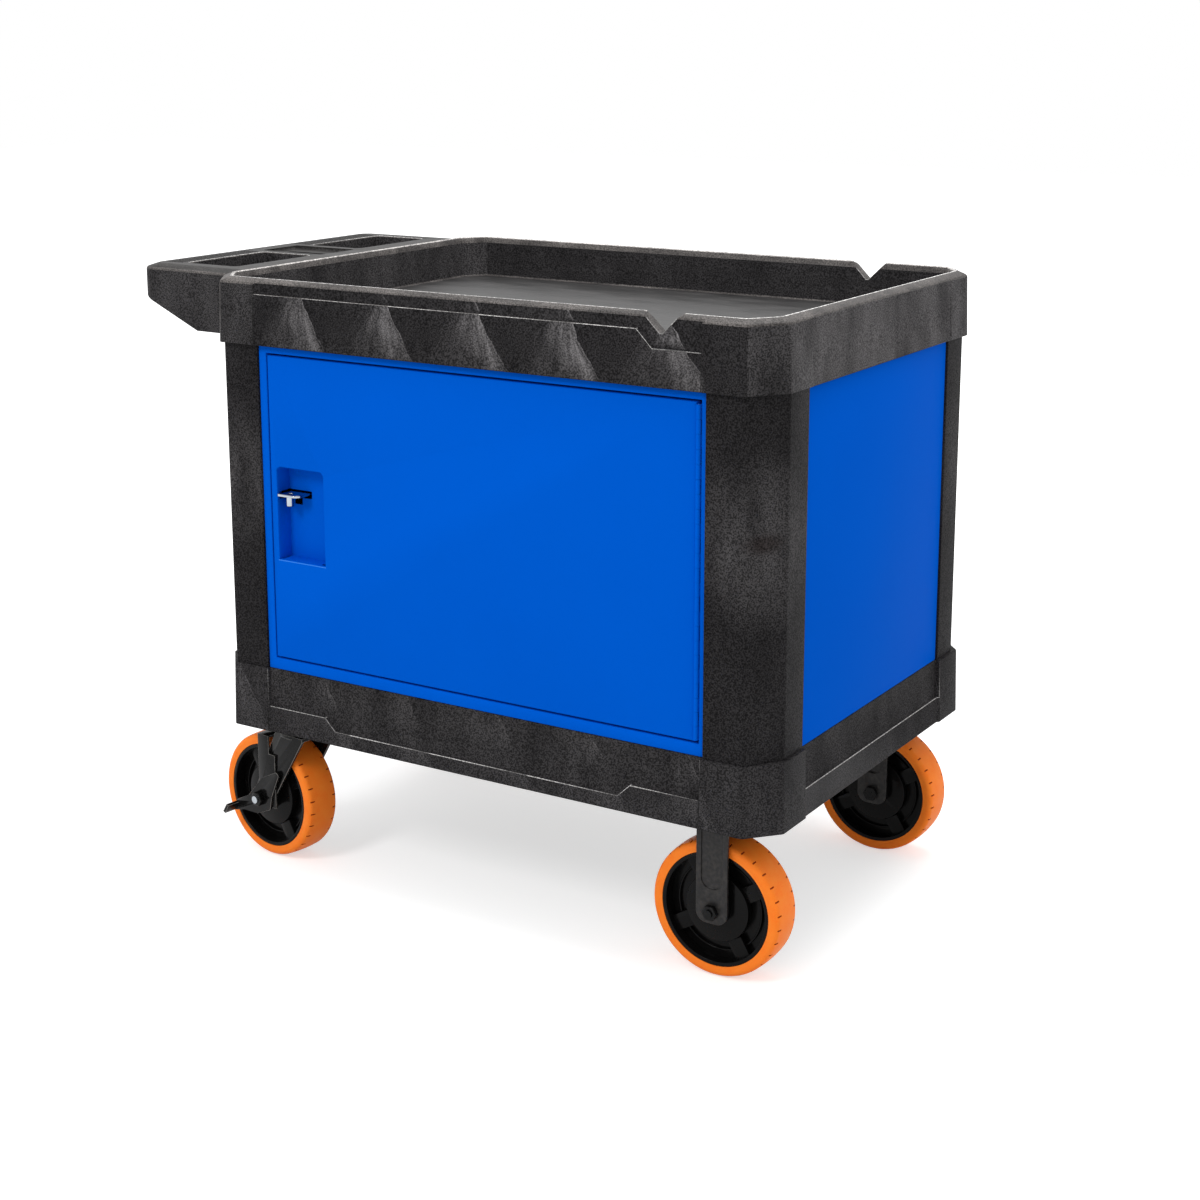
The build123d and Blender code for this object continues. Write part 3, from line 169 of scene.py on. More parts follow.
def pebble_grain(material, place, dark, light):
    """The mould's spark-eroded pebble of about 1 mm, drawn coarser so that it shows, and its glint painted
    into the colour.
    """
    grit = 0.0021
    pebble = add_node(material, "ShaderNodeTexNoise", {"Vector": place, "Scale": 1 / grit, "Detail": 1.0})
    return pebble, add_node(material, "ShaderNodeMapRange", {0: pebble, 1: 0.38, 2: 0.62, 3: dark, 4: light})


def structural_foam(name, cloud_on_walls, cloud_on_ends, marks=None, gate=None):
    """Charcoal structural foam: dark and smooth where the melt lay still, pale and dull where it foamed.

    Marks, where given, are the flow marks' heights, the ends of their panel, the width of a lobe, where the
    first one's top is and how pale they are. Gate is where the melt came in: a scorched, pitted spot and its
    radius, with a paler stretch round it.
    """
    cloud = 0.05
    bubble = 0.007
    material, place = new_material(name)
    upright = add_node(material, "ShaderNodeMapping", {"Vector": place, "Scale": (1.0, 1.0, 0.4)})
    clouds = add_node(material, "ShaderNodeTexNoise", {"Vector": upright, "Scale": 1 / cloud, "Detail": 4.0})
    normal = add_node(material, "ShaderNodeNewGeometry", {}, "Normal")
    endwise = add_node(material, "ShaderNodeSeparateXYZ", {0: normal}, "X")
    x = add_node(material, "ShaderNodeSeparateXYZ", {0: place}, "X")
    side = add_node(material, "ShaderNodeMath", {"operation": "SIGN", 0: x})
    outward = add_node(material, "ShaderNodeMath", {"operation": "MULTIPLY", 0: endwise, 1: side})
    strength = add_node(material, "ShaderNodeMapRange", {
        0: outward, 1: 0.6, 2: 0.95, 3: cloud_on_walls, 4: cloud_on_ends})
    cloudy = add_node(material, "ShaderNodeMapRange", {0: clouds, 1: 0.28, 2: 0.74, 3: 0.2, 4: 1.0})
    pale = add_node(material, "ShaderNodeMath", {"operation": "MULTIPLY", 0: cloudy, 1: strength})
    if marks:
        span, between, lobe, first, paleness = marks
        foamed = flow_marks(material, place, span, between, lobe, first)[0]
        pale = add_node(material, "ShaderNodeMath", {
            "operation": "MULTIPLY_ADD", "use_clamp": True, 0: foamed, 1: paleness, 2: pale})
    if gate:
        middle, radius = gate
        from_gate = add_node(material, "ShaderNodeVectorMath", {
            "operation": "SUBTRACT", 0: place, 1: middle})
        away = add_node(material, "ShaderNodeVectorMath", {"operation": "LENGTH", 0: from_gate}, "Value")
        spread = add_node(material, "ShaderNodeMapRange", {
            0: away, 1: 0.4 * radius, 2: 3.5 * radius, 3: 0.22, 4: 0.0})
        pale = add_node(material, "ShaderNodeMath", {
            "operation": "MULTIPLY_ADD", 0: spread, 1: cloudy, 2: pale})
    tone = add_node(material, "ShaderNodeMix", {
        "data_type": "RGBA", 0: pale, 6: linear("#1c1b1c"), 7: linear("#8f8c8d")}, 2)
    pebble, glint = pebble_grain(material, place, 0.4, 1.75)
    height = pebble
    if gate:
        flattened = add_node(material, "ShaderNodeVectorMath", {
            "operation": "MULTIPLY", 0: from_gate, 1: (1.0, 1.0, 2.0)})
        near = add_node(material, "ShaderNodeVectorMath", {"operation": "LENGTH", 0: flattened}, "Value")
        scorched = add_node(material, "ShaderNodeMapRange", {
            0: near, 1: 0.4 * radius, 2: radius, 3: 0.6, 4: 0.0})
        burnt = add_node(material, "ShaderNodeMix", {
            "data_type": "RGBA", 0: scorched, 6: tone, 7: linear("#1c1412")}, 2)
        bubbles = add_node(material, "ShaderNodeTexVoronoi", {"Vector": place, "Scale": 1 / bubble})
        burst = add_node(material, "ShaderNodeMapRange", {0: bubbles, 1: 0.12, 2: 0.3, 3: 1.0, 4: 0.0})
        hole = add_node(material, "ShaderNodeMath", {"operation": "MULTIPLY", 0: burst, 1: scorched})
        tone = add_node(material, "ShaderNodeMix", {
            "data_type": "RGBA", 0: hole, 6: burnt, 7: linear("#0b0a0a")}, 2)
        height = add_node(material, "ShaderNodeMath", {
            "operation": "MULTIPLY_ADD", 0: hole, 1: -3.0, 2: pebble})
    grain = add_node(material, "ShaderNodeMapRange", {0: pale, 1: 0.0, 2: 0.5, 3: 1.0, 4: 0.5})
    shader = add_node(material, "ShaderNodeBsdfPrincipled", {
        "Base Color": add_node(material, "ShaderNodeMix", {
            "data_type": "RGBA", "blend_type": "MULTIPLY", 0: grain, 6: tone, 7: glint}, 2),
        "Roughness": add_node(material, "ShaderNodeMapRange", {0: pale, 3: 0.46, 4: 0.72}),
        "Normal": add_node(material, "ShaderNodeBump", {
            "Height": height, "Strength": 0.6, "Distance": 0.0008}),
        "Specular IOR Level": 0.02})
    add_node(material, "ShaderNodeOutputMaterial", {"Surface": shader})
    return material


def edge_highlight_foam(name, highlight_colour, marks):
    """The same foam at a rounded edge, painted paler as a highlight: palest on edges that face up to the
    light, and just past a lobe's crisp line.
    """
    material, place = new_material(name)
    past_line = flow_marks(material, place, *marks[:4])[1]
    normal = add_node(material, "ShaderNodeNewGeometry", {}, "Normal")
    upwards = add_node(material, "ShaderNodeSeparateXYZ", {0: normal}, "Z")
    # Painted highlight: the edge is paler the more it faces up, where the light from above catches it.
    facing_up = add_node(material, "ShaderNodeMapRange", {0: upwards, 1: 0.1, 2: 0.6})
    pale_pattern = add_node(material, "ShaderNodeMapRange", {0: past_line, 1: 0.35, 2: 0.85, 3: 1.0, 4: 0.3})
    pale = add_node(material, "ShaderNodeMath", {"operation": "MULTIPLY", 0: facing_up, 1: pale_pattern})
    edge = add_node(material, "ShaderNodeMix", {
        "data_type": "RGBA", 0: pale, 6: linear("#232222"), 7: linear(highlight_colour)}, 2)
    glint = pebble_grain(material, place, 0.5, 1.3)[1]
    shader = add_node(material, "ShaderNodeBsdfPrincipled", {
        "Base Color": add_node(material, "ShaderNodeMix", {
            "data_type": "RGBA", "blend_type": "MULTIPLY", 0: 1.0, 6: edge, 7: glint}, 2),
        "Roughness": 0.5,
        "Specular IOR Level": 0.05})
    add_node(material, "ShaderNodeOutputMaterial", {"Surface": shader})
    return material


def finished(node, rounds, materials, segments=2):
    """A copy of a piece with its outer edges rounded over.

    Each round is a radius, a test of an edge's two ends, and which of the materials the rounded edge takes.
    A radius below zero fills an inner corner. The first material is the surface.
    """
    weld_distance = 0.00002
    flat_angle = radians(0.5)
    sharp_angle = radians(32)
    smooth_angle = radians(34)
    bpy.ops.object.select_all(action="DESELECT")
    original = frame["nodes"][node]
    original.select_set(True)
    bpy.context.view_layer.objects.active = original
    bpy.ops.object.duplicate()
    piece = bpy.context.object
    piece.name = f"{node}_finished"
    body = piece["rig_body"]
    for key in list(piece.keys()):
        del piece[key]
    piece.parent = None
    piece.data.materials.clear()
    for material in materials:
        piece.data.materials.append(material)
    piece.data.polygons.foreach_set("material_index", [0] * len(piece.data.polygons))
    bpy.ops.object.mode_set(mode="EDIT")
    bpy.ops.mesh.select_all(action="SELECT")
    bpy.ops.mesh.remove_doubles(threshold=weld_distance)
    bpy.ops.mesh.dissolve_limited(angle_limit=flat_angle)
    bpy.ops.mesh.select_mode(type="EDGE")
    for radius, test, finish in rounds:
        bpy.ops.mesh.select_all(action="DESELECT")
        bpy.ops.mesh.edges_select_sharp(sharpness=sharp_angle)
        bpy.ops.object.mode_set(mode="OBJECT")
        corners = piece.data.vertices
        sides = {}
        for face in piece.data.polygons:
            face.select = False
            for start, key in zip(face.vertices, face.edge_keys):
                sides.setdefault(key, []).append((start, face.normal))
        for edge in piece.data.edges:
            one, two = (corners[i].co for i in edge.vertices)
            meeting = sides.get(edge.key, [])
            if edge.select and len(meeting) == 2 and test(one, two):
                forward = two - one if meeting[0][0] == edge.vertices[0] else one - two
                edge.select = meeting[0][1].cross(meeting[1][1]).dot(forward) * radius > 0
            else:
                edge.select = False
        bpy.ops.object.mode_set(mode="EDIT")
        bpy.ops.mesh.bevel(offset=abs(radius), segments=segments, profile=0.5, clamp_overlap=False,
                           material=finish)
    bpy.ops.object.mode_set(mode="OBJECT")
    bpy.ops.object.shade_smooth_by_angle(angle=smooth_angle)
    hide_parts(node)
    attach(piece, body)
    return piece


def longer_than(length):
    """A test for edges that are longer than this."""
    return lambda a, b: (a - b).length > length


def mould_edge(box, least):
    """A test for a moulding's edges: the long enough ones, and the short ones of its rounded corners."""
    corner_block = Vector((0.07, 0.075, 0))
    least_at_corner = 0.001
    middle = (box[0] + box[1]) / 2
    reach = (box[1] - box[0]) / 2 - corner_block

    def test(a, b):
        at_corner = abs(a.x - middle.x) > reach.x and abs(a.y - middle.y) > reach.y
        return (a - b).length > (least_at_corner if at_corner else least)

    return test


base_span = (base_low.z, base_high.z)
base_panel = (base_low.x, base_high.x)
base_marks = (base_span, base_panel, base_lobe, base_first_lobe, base_paleness)
base_foam = structural_foam("structural_foam_base", cloud_on_walls=0.10, cloud_on_ends=0.09,
                            marks=base_marks)
# The base's pale edge colour is a painted highlight.
base_edge_highlight = edge_highlight_foam("structural_foam_base_edge_highlight", "#cfccca", base_marks)
base_edge = mould_edge((base_low, base_high), base_edge_length)
base = finished("base_tray", [(base_edge_radius, base_edge, 1)], [base_foam, base_edge_highlight])
for face in base.data.polygons:
    if face.center.z > base_high.z - 2 * base_edge_radius:
        face.material_index = 0

# The fixed casters' forks: a stamped plate with two legs welded under it, dipped in black electrocoat. The
# coat is thin and satin, so the plate's edges stay crisp and catch a thin line of light.
fork_edge_radius = 0.0009
fork_edge_length = 0.0005


def electrocoat(name, dark, light, shine, rough):
    """Black electrocoat over stamped steel: a thin film that keeps the steel's slight unevenness."""
    dimple = 0.006
    material, place = new_material(name)
    film = add_node(material, "ShaderNodeTexNoise", {"Vector": place, "Scale": 1 / dimple, "Detail": 4.0})
    uneven = add_node(material, "ShaderNodeMapRange", {0: film, 1: 0.4, 2: 0.8})
    shader = add_node(material, "ShaderNodeBsdfPrincipled", {
        "Base Color": add_node(material, "ShaderNodeMix", {
            "data_type": "RGBA", 0: uneven, 6: linear(dark), 7: linear(light)}, 2),
        "Roughness": add_node(material, "ShaderNodeMapRange", {0: film, 3: rough, 4: 1.6 * rough}),
        "Normal": add_node(material, "ShaderNodeBump", {
            "Height": film, "Strength": 0.15, "Distance": 0.0006}),
        "Specular IOR Level": shine})
    add_node(material, "ShaderNodeOutputMaterial", {"Surface": shader})
    return material


satin_coat = electrocoat("electrocoated_steel_satin", "#201f1f", "#383533", shine=0.20, rough=0.28)
for side in ("front", "back"):
    finished(f"rigid_fork_{side}", [(fork_edge_radius, longer_than(fork_edge_length), 0)], [satin_coat])

# The swivel casters: a bolted plate, a kingpin, a ring of balls and a raked fork, electrocoated like the
# fixed ones, with a paler coat painted along the fork's edges as a highlight. The balls and the pin stay
# bright zinc under a film of grease.
plate_edge_length = 0.02


def zinc_plate(name):
    """Zinc-plated steel: a bluish grey metal with a crystalline bloom, drawn coarser so that it shows."""
    crystal = 0.0015
    material, place = new_material(name)
    bloom = add_node(material, "ShaderNodeTexNoise", {"Vector": place, "Scale": 1 / crystal, "Detail": 3.0})
    shader = add_node(material, "ShaderNodeBsdfPrincipled", {
        "Base Color": add_node(material, "ShaderNodeMix", {
            "data_type": "RGBA", 0: bloom, 6: linear("#8f959b"), 7: linear("#c3c8cc")}, 2),
        "Roughness": add_node(material, "ShaderNodeMapRange", {0: bloom, 3: 0.26, 4: 0.46}),
        "Metallic": 1.0})
    add_node(material, "ShaderNodeOutputMaterial", {"Surface": shader})
    return material


def dress(node, material):
    """Give a piece that keeps its own mesh its material."""
    surface = frame["nodes"][node].data.materials
    surface.clear()
    surface.append(material)


zinc = zinc_plate("zinc_plated_steel")
gloss_coat = electrocoat("electrocoated_steel_gloss", "#0a0a0a", "#191818", shine=0.13, rough=0.12)
# A paler coat for the rounded edges: a painted highlight.
edge_highlight_coat = electrocoat("electrocoated_steel_edge_highlight", "#5a5754", "#7d7975", shine=0.30, rough=0.24)
for side in ("front", "back"):
    finished(f"swivel_plate_{side}", [(fork_edge_radius, longer_than(plate_edge_length), 0)], [gloss_coat])
    finished(f"swivel_fork_{side}", [(fork_edge_radius, longer_than(fork_edge_length), 1)],
             [gloss_coat, edge_highlight_coat])
    dress(f"kingpin_{side}", zinc)
    dress(f"swivel_balls_{side}", zinc)

# The axles: bolts through the forks with their nuts outside, black on the fixed casters. The swivel casters'
# bolts are zinc plated, so that their tips show bright.
nut_edge_radius = 0.0007
nut_edge_length = 0.006
for side in ("front", "back"):
    dress(f"rigid_axle_{side}", gloss_coat)
    dress(f"swivel_axle_{side}", zinc)
    for kind in ("rigid", "swivel"):
        finished(f"{kind}_axle_nut_{side}", [(nut_edge_radius, longer_than(nut_edge_length), 0)],
                 [gloss_coat])

# The wheels' hubs: glass-filled nylon, moulded black with a rim, a ridged web, block spokes and a raised
# disc. Plain steel bushes are pressed into their bosses.
hub_edge_radius = 0.0009
hub_edge_length = 0.0001


def filled_nylon(name):
    """Black glass-filled nylon: a half-gloss moulded skin, broken by the fibres' faint orange-peel."""
    peel = 0.004
    material, place = new_material(name)
    skin = add_node(material, "ShaderNodeTexNoise", {"Vector": place, "Scale": 1 / peel, "Detail": 3.0})
    shader = add_node(material, "ShaderNodeBsdfPrincipled", {
        "Base Color": add_node(material, "ShaderNodeMix", {
            "data_type": "RGBA", 0: skin, 6: linear("#060606"), 7: linear("#100f0f")}, 2),
        "Roughness": add_node(material, "ShaderNodeMapRange", {0: skin, 3: 0.14, 4: 0.26}),
        "Normal": add_node(material, "ShaderNodeBump", {
            "Height": skin, "Strength": 0.08, "Distance": 0.0005}),
        "Specular IOR Level": 0.08})
    add_node(material, "ShaderNodeOutputMaterial", {"Surface": shader})
    return material


nylon = filled_nylon("glass_filled_nylon_black")
for side in ("front", "back"):
    for kind in ("rigid", "swivel"):
        finished(f"{kind}_hub_{side}", [(hub_edge_radius, longer_than(hub_edge_length), 0)], [nylon])
        dress(f"{kind}_bearings_{side}", zinc)

# The tyres: orange polyurethane cast onto the hubs, with a crowned tread, round shoulders and a row of short
# slits along each shoulder, painted a darker orange inside as shade. One is modelled round the middle of a
# wheel and copied to the four.
tyre_low, tyre_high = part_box("rigid_tyre_front")
tyre_half = (tyre_high.y - tyre_low.y) / 2
tyre_outer = (tyre_high.z - tyre_low.z) / 2
tyre_inner = 0.085
tyre_foot = tyre_half - 0.002
shoulder = 0.009
shoulder_steps = 6
tread_half = tyre_half - shoulder
tread_crown = 0.001
tread_cuts = 5
tread_edge = tyre_outer - tread_crown
touch = 0.0001
spin_steps = 144
spin_weld = 0.00001
tyre_smooth_angle = radians(40)
slit_count = 30
slit_length = 0.0080
slit_width = 0.0022
slit_depth = 0.003
slit_row = tread_half + 0.001
slit_round = 0.0004


def cast_polyurethane(name, bright, dull):
    """Orange cast polyurethane: satin, a little mottled, with a fine drag from the mould."""
    mottle = 0.014
    drag = 0.0016
    material, place = new_material(name)
    cloud = add_node(material, "ShaderNodeTexNoise", {"Vector": place, "Scale": 1 / mottle, "Detail": 4.0})
    fine = add_node(material, "ShaderNodeTexNoise", {"Vector": place, "Scale": 1 / drag, "Detail": 2.0})
    blend = add_node(material, "ShaderNodeMath", {"operation": "MULTIPLY", 0: cloud, 1: fine})
    mottled = add_node(material, "ShaderNodeMapRange", {0: blend, 1: 0.15, 2: 0.45})
    shader = add_node(material, "ShaderNodeBsdfPrincipled", {
        "Base Color": add_node(material, "ShaderNodeMix", {
            "data_type": "RGBA", 0: mottled, 6: linear(bright), 7: linear(dull)}, 2),
        "Roughness": add_node(material, "ShaderNodeMapRange", {0: cloud, 3: 0.40, 4: 0.56}),
        "Normal": add_node(material, "ShaderNodeBump", {
            "Height": fine, "Strength": 0.18, "Distance": 0.0004}),
        "Specular IOR Level": 0.10})
    add_node(material, "ShaderNodeOutputMaterial", {"Surface": shader})
    return material


orange = cast_polyurethane("cast_polyurethane_orange", "#ff882c", "#ff7a22")
# The slits' insides take a darker orange: painted shade in the slits.
slit_shade_orange = cast_polyurethane("cast_polyurethane_slit_shade", "#c9521c", "#a53f10")

bpy.ops.object.select_all(action="DESELECT")
bpy.ops.mesh.primitive_plane_add(size=1.0, rotation=(0, pi / 2, 0))
tyre = bpy.context.object
tyre.name = "tyre"
bpy.ops.object.transform_apply(location=True, rotation=True, scale=True)
for corner in tyre.data.vertices:
    outside = corner.co.z > 0
    corner.co.y = (1 if corner.co.y > 0 else -1) * (tyre_half if outside else tyre_foot)
    corner.co.z = tread_edge if outside else tyre_inner
    corner.select = outside
for edge in tyre.data.edges:
    edge.select = all(tyre.data.vertices[i].select for i in edge.vertices)
tyre.data.polygons[0].select = False
bpy.ops.object.mode_set(mode="EDIT")
bpy.ops.mesh.select_mode(type="VERT")
bpy.ops.mesh.bevel(offset=shoulder, segments=shoulder_steps, affect="VERTICES", profile=0.5)
bpy.ops.mesh.select_all(action="SELECT")
bpy.ops.mesh.delete(type="ONLY_FACE")
bpy.ops.object.mode_set(mode="OBJECT")
for corner in tyre.data.vertices:
    corner.select = corner.co.z > tread_edge - touch
for edge in tyre.data.edges:
    edge.select = all(tyre.data.vertices[i].select for i in edge.vertices)
bpy.ops.object.mode_set(mode="EDIT")
bpy.ops.mesh.select_mode(type="EDGE")
bpy.ops.mesh.subdivide(number_cuts=tread_cuts)
bpy.ops.object.mode_set(mode="OBJECT")
for corner in tyre.data.vertices:
    if corner.co.z > tread_edge - touch:
        corner.co.z = tyre_outer - tread_crown * (corner.co.y / tread_half) ** 2
bpy.ops.object.mode_set(mode="EDIT")
bpy.ops.mesh.select_all(action="SELECT")
bpy.ops.mesh.spin(steps=spin_steps, angle=2 * pi, center=(0, 0, 0), axis=(0, 1, 0))
bpy.ops.mesh.select_all(action="SELECT")
bpy.ops.mesh.remove_doubles(threshold=spin_weld)
bpy.ops.mesh.normals_make_consistent(inside=False)
bpy.ops.object.mode_set(mode="OBJECT")
tyre.data.materials.append(orange)
tyre.data.materials.append(slit_shade_orange)

bpy.ops.object.select_all(action="DESELECT")
bpy.ops.mesh.primitive_cube_add(size=1.0, location=(0, slit_row, tread_edge))
slits = bpy.context.object
slits.scale = (slit_width, slit_length, 2 * slit_depth)
bpy.ops.object.transform_apply(location=True, rotation=True, scale=True)
bpy.ops.object.mode_set(mode="EDIT")
bpy.ops.mesh.select_all(action="SELECT")
bpy.ops.mesh.bevel(offset=slit_round, segments=1, clamp_overlap=True)
bpy.ops.mesh.select_all(action="SELECT")
bpy.ops.mesh.duplicate_move(TRANSFORM_OT_translate={"value": (0, -2 * slit_row, 0)})
bpy.ops.mesh.select_all(action="SELECT")
bpy.ops.mesh.spin(steps=slit_count - 1, dupli=True, angle=2 * pi * (slit_count - 1) / slit_count,
                  center=(0, 0, 0), axis=(0, 1, 0))
bpy.ops.mesh.select_all(action="SELECT")
bpy.ops.mesh.normals_make_consistent(inside=False)
bpy.ops.object.mode_set(mode="OBJECT")
slits.data.materials.append(orange)
slits.data.materials.append(slit_shade_orange)
slits.data.polygons.foreach_set("material_index", [1] * len(slits.data.polygons))


def carve(piece, cutter):
    """Cut one piece out of another."""
    bpy.ops.object.select_all(action="DESELECT")
    piece.select_set(True)
    bpy.context.view_layer.objects.active = piece
    cut = piece.modifiers.new("cut", "BOOLEAN")
    cut.operation = "DIFFERENCE"
    cut.solver = "MANIFOLD"
    cut.object = cutter
    bpy.ops.object.modifier_apply(modifier="cut")
    bpy.data.objects.remove(cutter)


carve(tyre, slits)
bpy.ops.object.shade_smooth_by_angle(angle=tyre_smooth_angle)

joints = {joint["name"]: joint for joint in frame["joints"]}
for side in ("front", "back"):
    for kind in ("rigid", "swivel"):
        spin = joints[f"{kind}_wheel_{side}_spin"]
        bpy.ops.object.select_all(action="DESELECT")
        tyre.select_set(True)
        bpy.context.view_layer.objects.active = tyre
        bpy.ops.object.duplicate()
        wheel_tyre = bpy.context.object
        wheel_tyre.name = f"{kind}_tyre_{side}_cast"
        wheel_tyre.rotation_euler.z = atan2(-spin["axis"][0], spin["axis"][1])
        wheel_tyre.location = spin["pos_m"]
        bpy.ops.object.transform_apply(location=True, rotation=True, scale=True)
        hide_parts(f"{kind}_tyre_{side}")
        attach(wheel_tyre, f"{kind}_wheel_{side}")
bpy.data.objects.remove(tyre)

# The brakes: a stamped lever on each swivel caster's axle, and the blade that it pushes down onto the tyre.
# Both are electrocoated, and their edges, left as cut, are painted paler as a highlight.
lever_edge_radius = 0.0007
blade_edge_radius = 0.0006
cut_edge = longer_than(0.0005)
for side in ("front", "back"):
    finished(f"brake_lever_{side}", [(lever_edge_radius, cut_edge, 1)], [gloss_coat, edge_highlight_coat])
    finished(f"brake_blade_{side}", [(blade_edge_radius, cut_edge, 1)], [gloss_coat, edge_highlight_coat])

# The caster bolts, up through the caster plates, and their nuts on the base's floor: stock hexagon parts of
# zinc-plated steel, four to a caster.
dress("caster_bolts", zinc)
dress("caster_nuts", zinc)

# The corner posts: hollow structural-foam mouldings, plugged into sockets in the base and the tray. The
# melt comes in about half way up each wide face, and leaves a scorched, pitted spot with a paler stretch
# round it.
post_corner_radius = 0.009
post_edge_radius = 0.0012
upright_length = 0.3
chamfer_reach = 0.056
gate_radius = 0.036
gate_rise = 0.053
gate_inset = 0.022


def at_chamfer(corner):
    """A test for the upright edges where a post's wide slanting face starts and ends, beside its corner."""
    upright = longer_than(upright_length)
    return lambda a, b: upright(a, b) and abs(a.x - corner.x) + abs(a.y - corner.y) < chamfer_reach


for name in ("front_left", "front_right", "back_left", "back_right"):
    post_low, post_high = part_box(f"post_{name}")
    corner = Vector((post_high.x if "right" in name else post_low.x,
                     post_high.y if "back" in name else post_low.y,
                     (post_low.z + post_high.z) / 2))
    inward = Vector((-1 if "right" in name else 1, -1 if "back" in name else 1, 0))
    gate_middle = corner + inward * gate_inset + Vector((0, 0, gate_rise))
    foam = structural_foam(f"structural_foam_post_{name}", cloud_on_walls=0.03, cloud_on_ends=0.05,
                           gate=(gate_middle, gate_radius))
    finished(f"post_{name}", [(post_corner_radius, at_chamfer(corner), 0),
                              (post_edge_radius, longer_than(upright_length), 0)], [foam], segments=4)

# The cabinet's walls: folded steel pans, powder coated blue, screwed between the posts. The powder flows
# into a satin skin with a fine orange-peel and rounds the folds.
fold_radius = 0.0016


def powder_coat(name, dark, light):
    """Blue polyester powder coat: an even satin colour over a fine orange-peel of about 2 mm."""
    peel = 0.0024
    drift = 0.22
    material, place = new_material(name)
    cloud = add_node(material, "ShaderNodeTexNoise", {"Vector": place, "Scale": 1 / drift, "Detail": 2.0})
    skin = add_node(material, "ShaderNodeTexNoise", {"Vector": place, "Scale": 1 / peel, "Detail": 2.0})
    shader = add_node(material, "ShaderNodeBsdfPrincipled", {
        "Base Color": add_node(material, "ShaderNodeMix", {
            "data_type": "RGBA", 0: cloud, 6: linear(dark), 7: linear(light)}, 2),
        "Roughness": add_node(material, "ShaderNodeMapRange", {0: cloud, 3: 0.36, 4: 0.46}),
        "Normal": add_node(material, "ShaderNodeBump", {
            "Height": skin, "Strength": 0.10, "Distance": 0.0003}),
        "Specular IOR Level": 0.002})
    add_node(material, "ShaderNodeOutputMaterial", {"Surface": shader})
    return material


def on_face(axis, value):
    """A test for edges that lie on the outer face of a folded pan, at this place along an axis."""
    return lambda a, b: max(abs(a[axis] - value), abs(b[axis] - value)) < touch


blue = powder_coat("powder_coated_steel_blue", "#0057c9", "#005bcf")
finished("door_frame", [(fold_radius, on_face(1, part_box("door_frame")[0].y), 0)], [blue])
finished("back_panel", [(fold_radius, on_face(1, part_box("back_panel")[1].y), 0)], [blue])
finished("handle_end_panel", [(fold_radius, on_face(0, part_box("handle_end_panel")[0].x), 0)], [blue])
finished("far_end_panel", [(fold_radius, on_face(0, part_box("far_end_panel")[1].x), 0)], [blue])

# The screws through the pans' flanges into the mouldings: stock zinc-plated steel. They are seen only with
# the door open.
dress("panel_screws", zinc)

# The door: a folded pan with hat stiffeners spot-welded behind it and a pressed pocket for the lock, all
# coated in the same blue. The rounded sill of the pocket's mouth, where it faces up, is painted paler as a
# highlight.
pocket_edge_radius = 0.0006
pocket_edge_length = 0.004
pocket_lip = 0.007
sill_slope = (0.2, 0.6)
door_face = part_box("door_panel")[0].y
sill_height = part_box("lock_pocket")[0].z + pocket_lip
sill_highlight_blue = powder_coat("powder_coated_steel_sill_highlight", "#2f79df", "#3f86e6")
door = finished("door_panel", [(fold_radius, on_face(1, door_face), 0)], [blue, sill_highlight_blue])
# Painted highlight: the sill's up-facing rounded faces take the paler blue.
for face in door.data.polygons:
    if abs(face.center.z - sill_height) < fold_radius and sill_slope[0] < face.normal.z < sill_slope[1]:
        face.material_index = 1
finished("lock_pocket", [(pocket_edge_radius, longer_than(pocket_edge_length), 0)], [blue])
dress("door_stiffeners", blue)

# The piano hinge: two leaves of steel strip, with knuckles in turn on a zinc-plated pin. The leaves are
# coated blue with the door and its frame.
dress("hinge_leaf_frame", blue)
dress("hinge_leaf_door", blue)
dress("hinge_pin", zinc)

# The padlock staple: a thick steel tab with a shackle bush, polished and chromed, on a bracket behind the
# door frame.
staple_edge_radius = 0.0011
staple_edge_length = 0.0003


def chrome(name):
    """Decorative chrome: a mirror with a faint trace of the polishing under it, drawn coarser to show."""
    scratch = 0.0012
    material, place = new_material(name)
    trace = add_node(material, "ShaderNodeTexNoise", {"Vector": place, "Scale": 1 / scratch, "Detail": 2.0})
    shader = add_node(material, "ShaderNodeBsdfPrincipled", {
        "Base Color": linear("#9da3a9"),
        "Roughness": add_node(material, "ShaderNodeMapRange", {0: trace, 3: 0.05, 4: 0.14}),
        "Metallic": 1.0})
    add_node(material, "ShaderNodeOutputMaterial", {"Surface": shader})
    return material


staple_chrome = chrome("chromed_steel_polished")
finished("lock_staple", [(staple_edge_radius, longer_than(staple_edge_length), 0)], [staple_chrome],
         segments=4)

# The top tray: the largest structural-foam moulding, with a crowned rim, a sunk deck and the handle. The
# flow marks are strongest on its walls. The handle's rail has two strips of moulded grip ribs, and its
# hand slot lies in a shallow well.
tray_low, tray_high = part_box("top_tray")
crest_radius = 0.0017
rim_edge_radius = 0.0030
ledge_edge_radius = 0.0008
rim_edge_length = 0.001
ledge_edge_length = 0.0034
notch_depth = 0.025
tray_start = tray_low.x + 0.18
tray_panel = (tray_high.x - 0.8735, tray_high.x - 0.109)
tray_lobe = 0.157
tray_first_lobe = 0.107
tray_paleness = 0.44
block_fold = tray_low.x + 0.2266
fold_reach = 0.0024
fold_side = tray_high.y - 0.007
slanting = 0.3
level = 0.8
deck_height = tray_high.z - 0.068
deck_fillet = 0.0025
rim_edge = tray_high.z - 0.009
crest_foot = tray_high.z - 0.002
mark_top = tray_high.z - 0.006
rib_pitch = 0.0086
rib_gap = 0.0042
rib_depth = 0.0016
rib_round = 0.0012
ribs_per_strip = 22
rail_outer = tray_low.x + 0.024
rail_inner = tray_low.x + 0.058
strip_start = 0.066
well_outer = tray_low.x + 0.047
well_inner = tray_low.x + 0.172
well_width = 0.087
well_depth = 0.006
well_round = 0.004


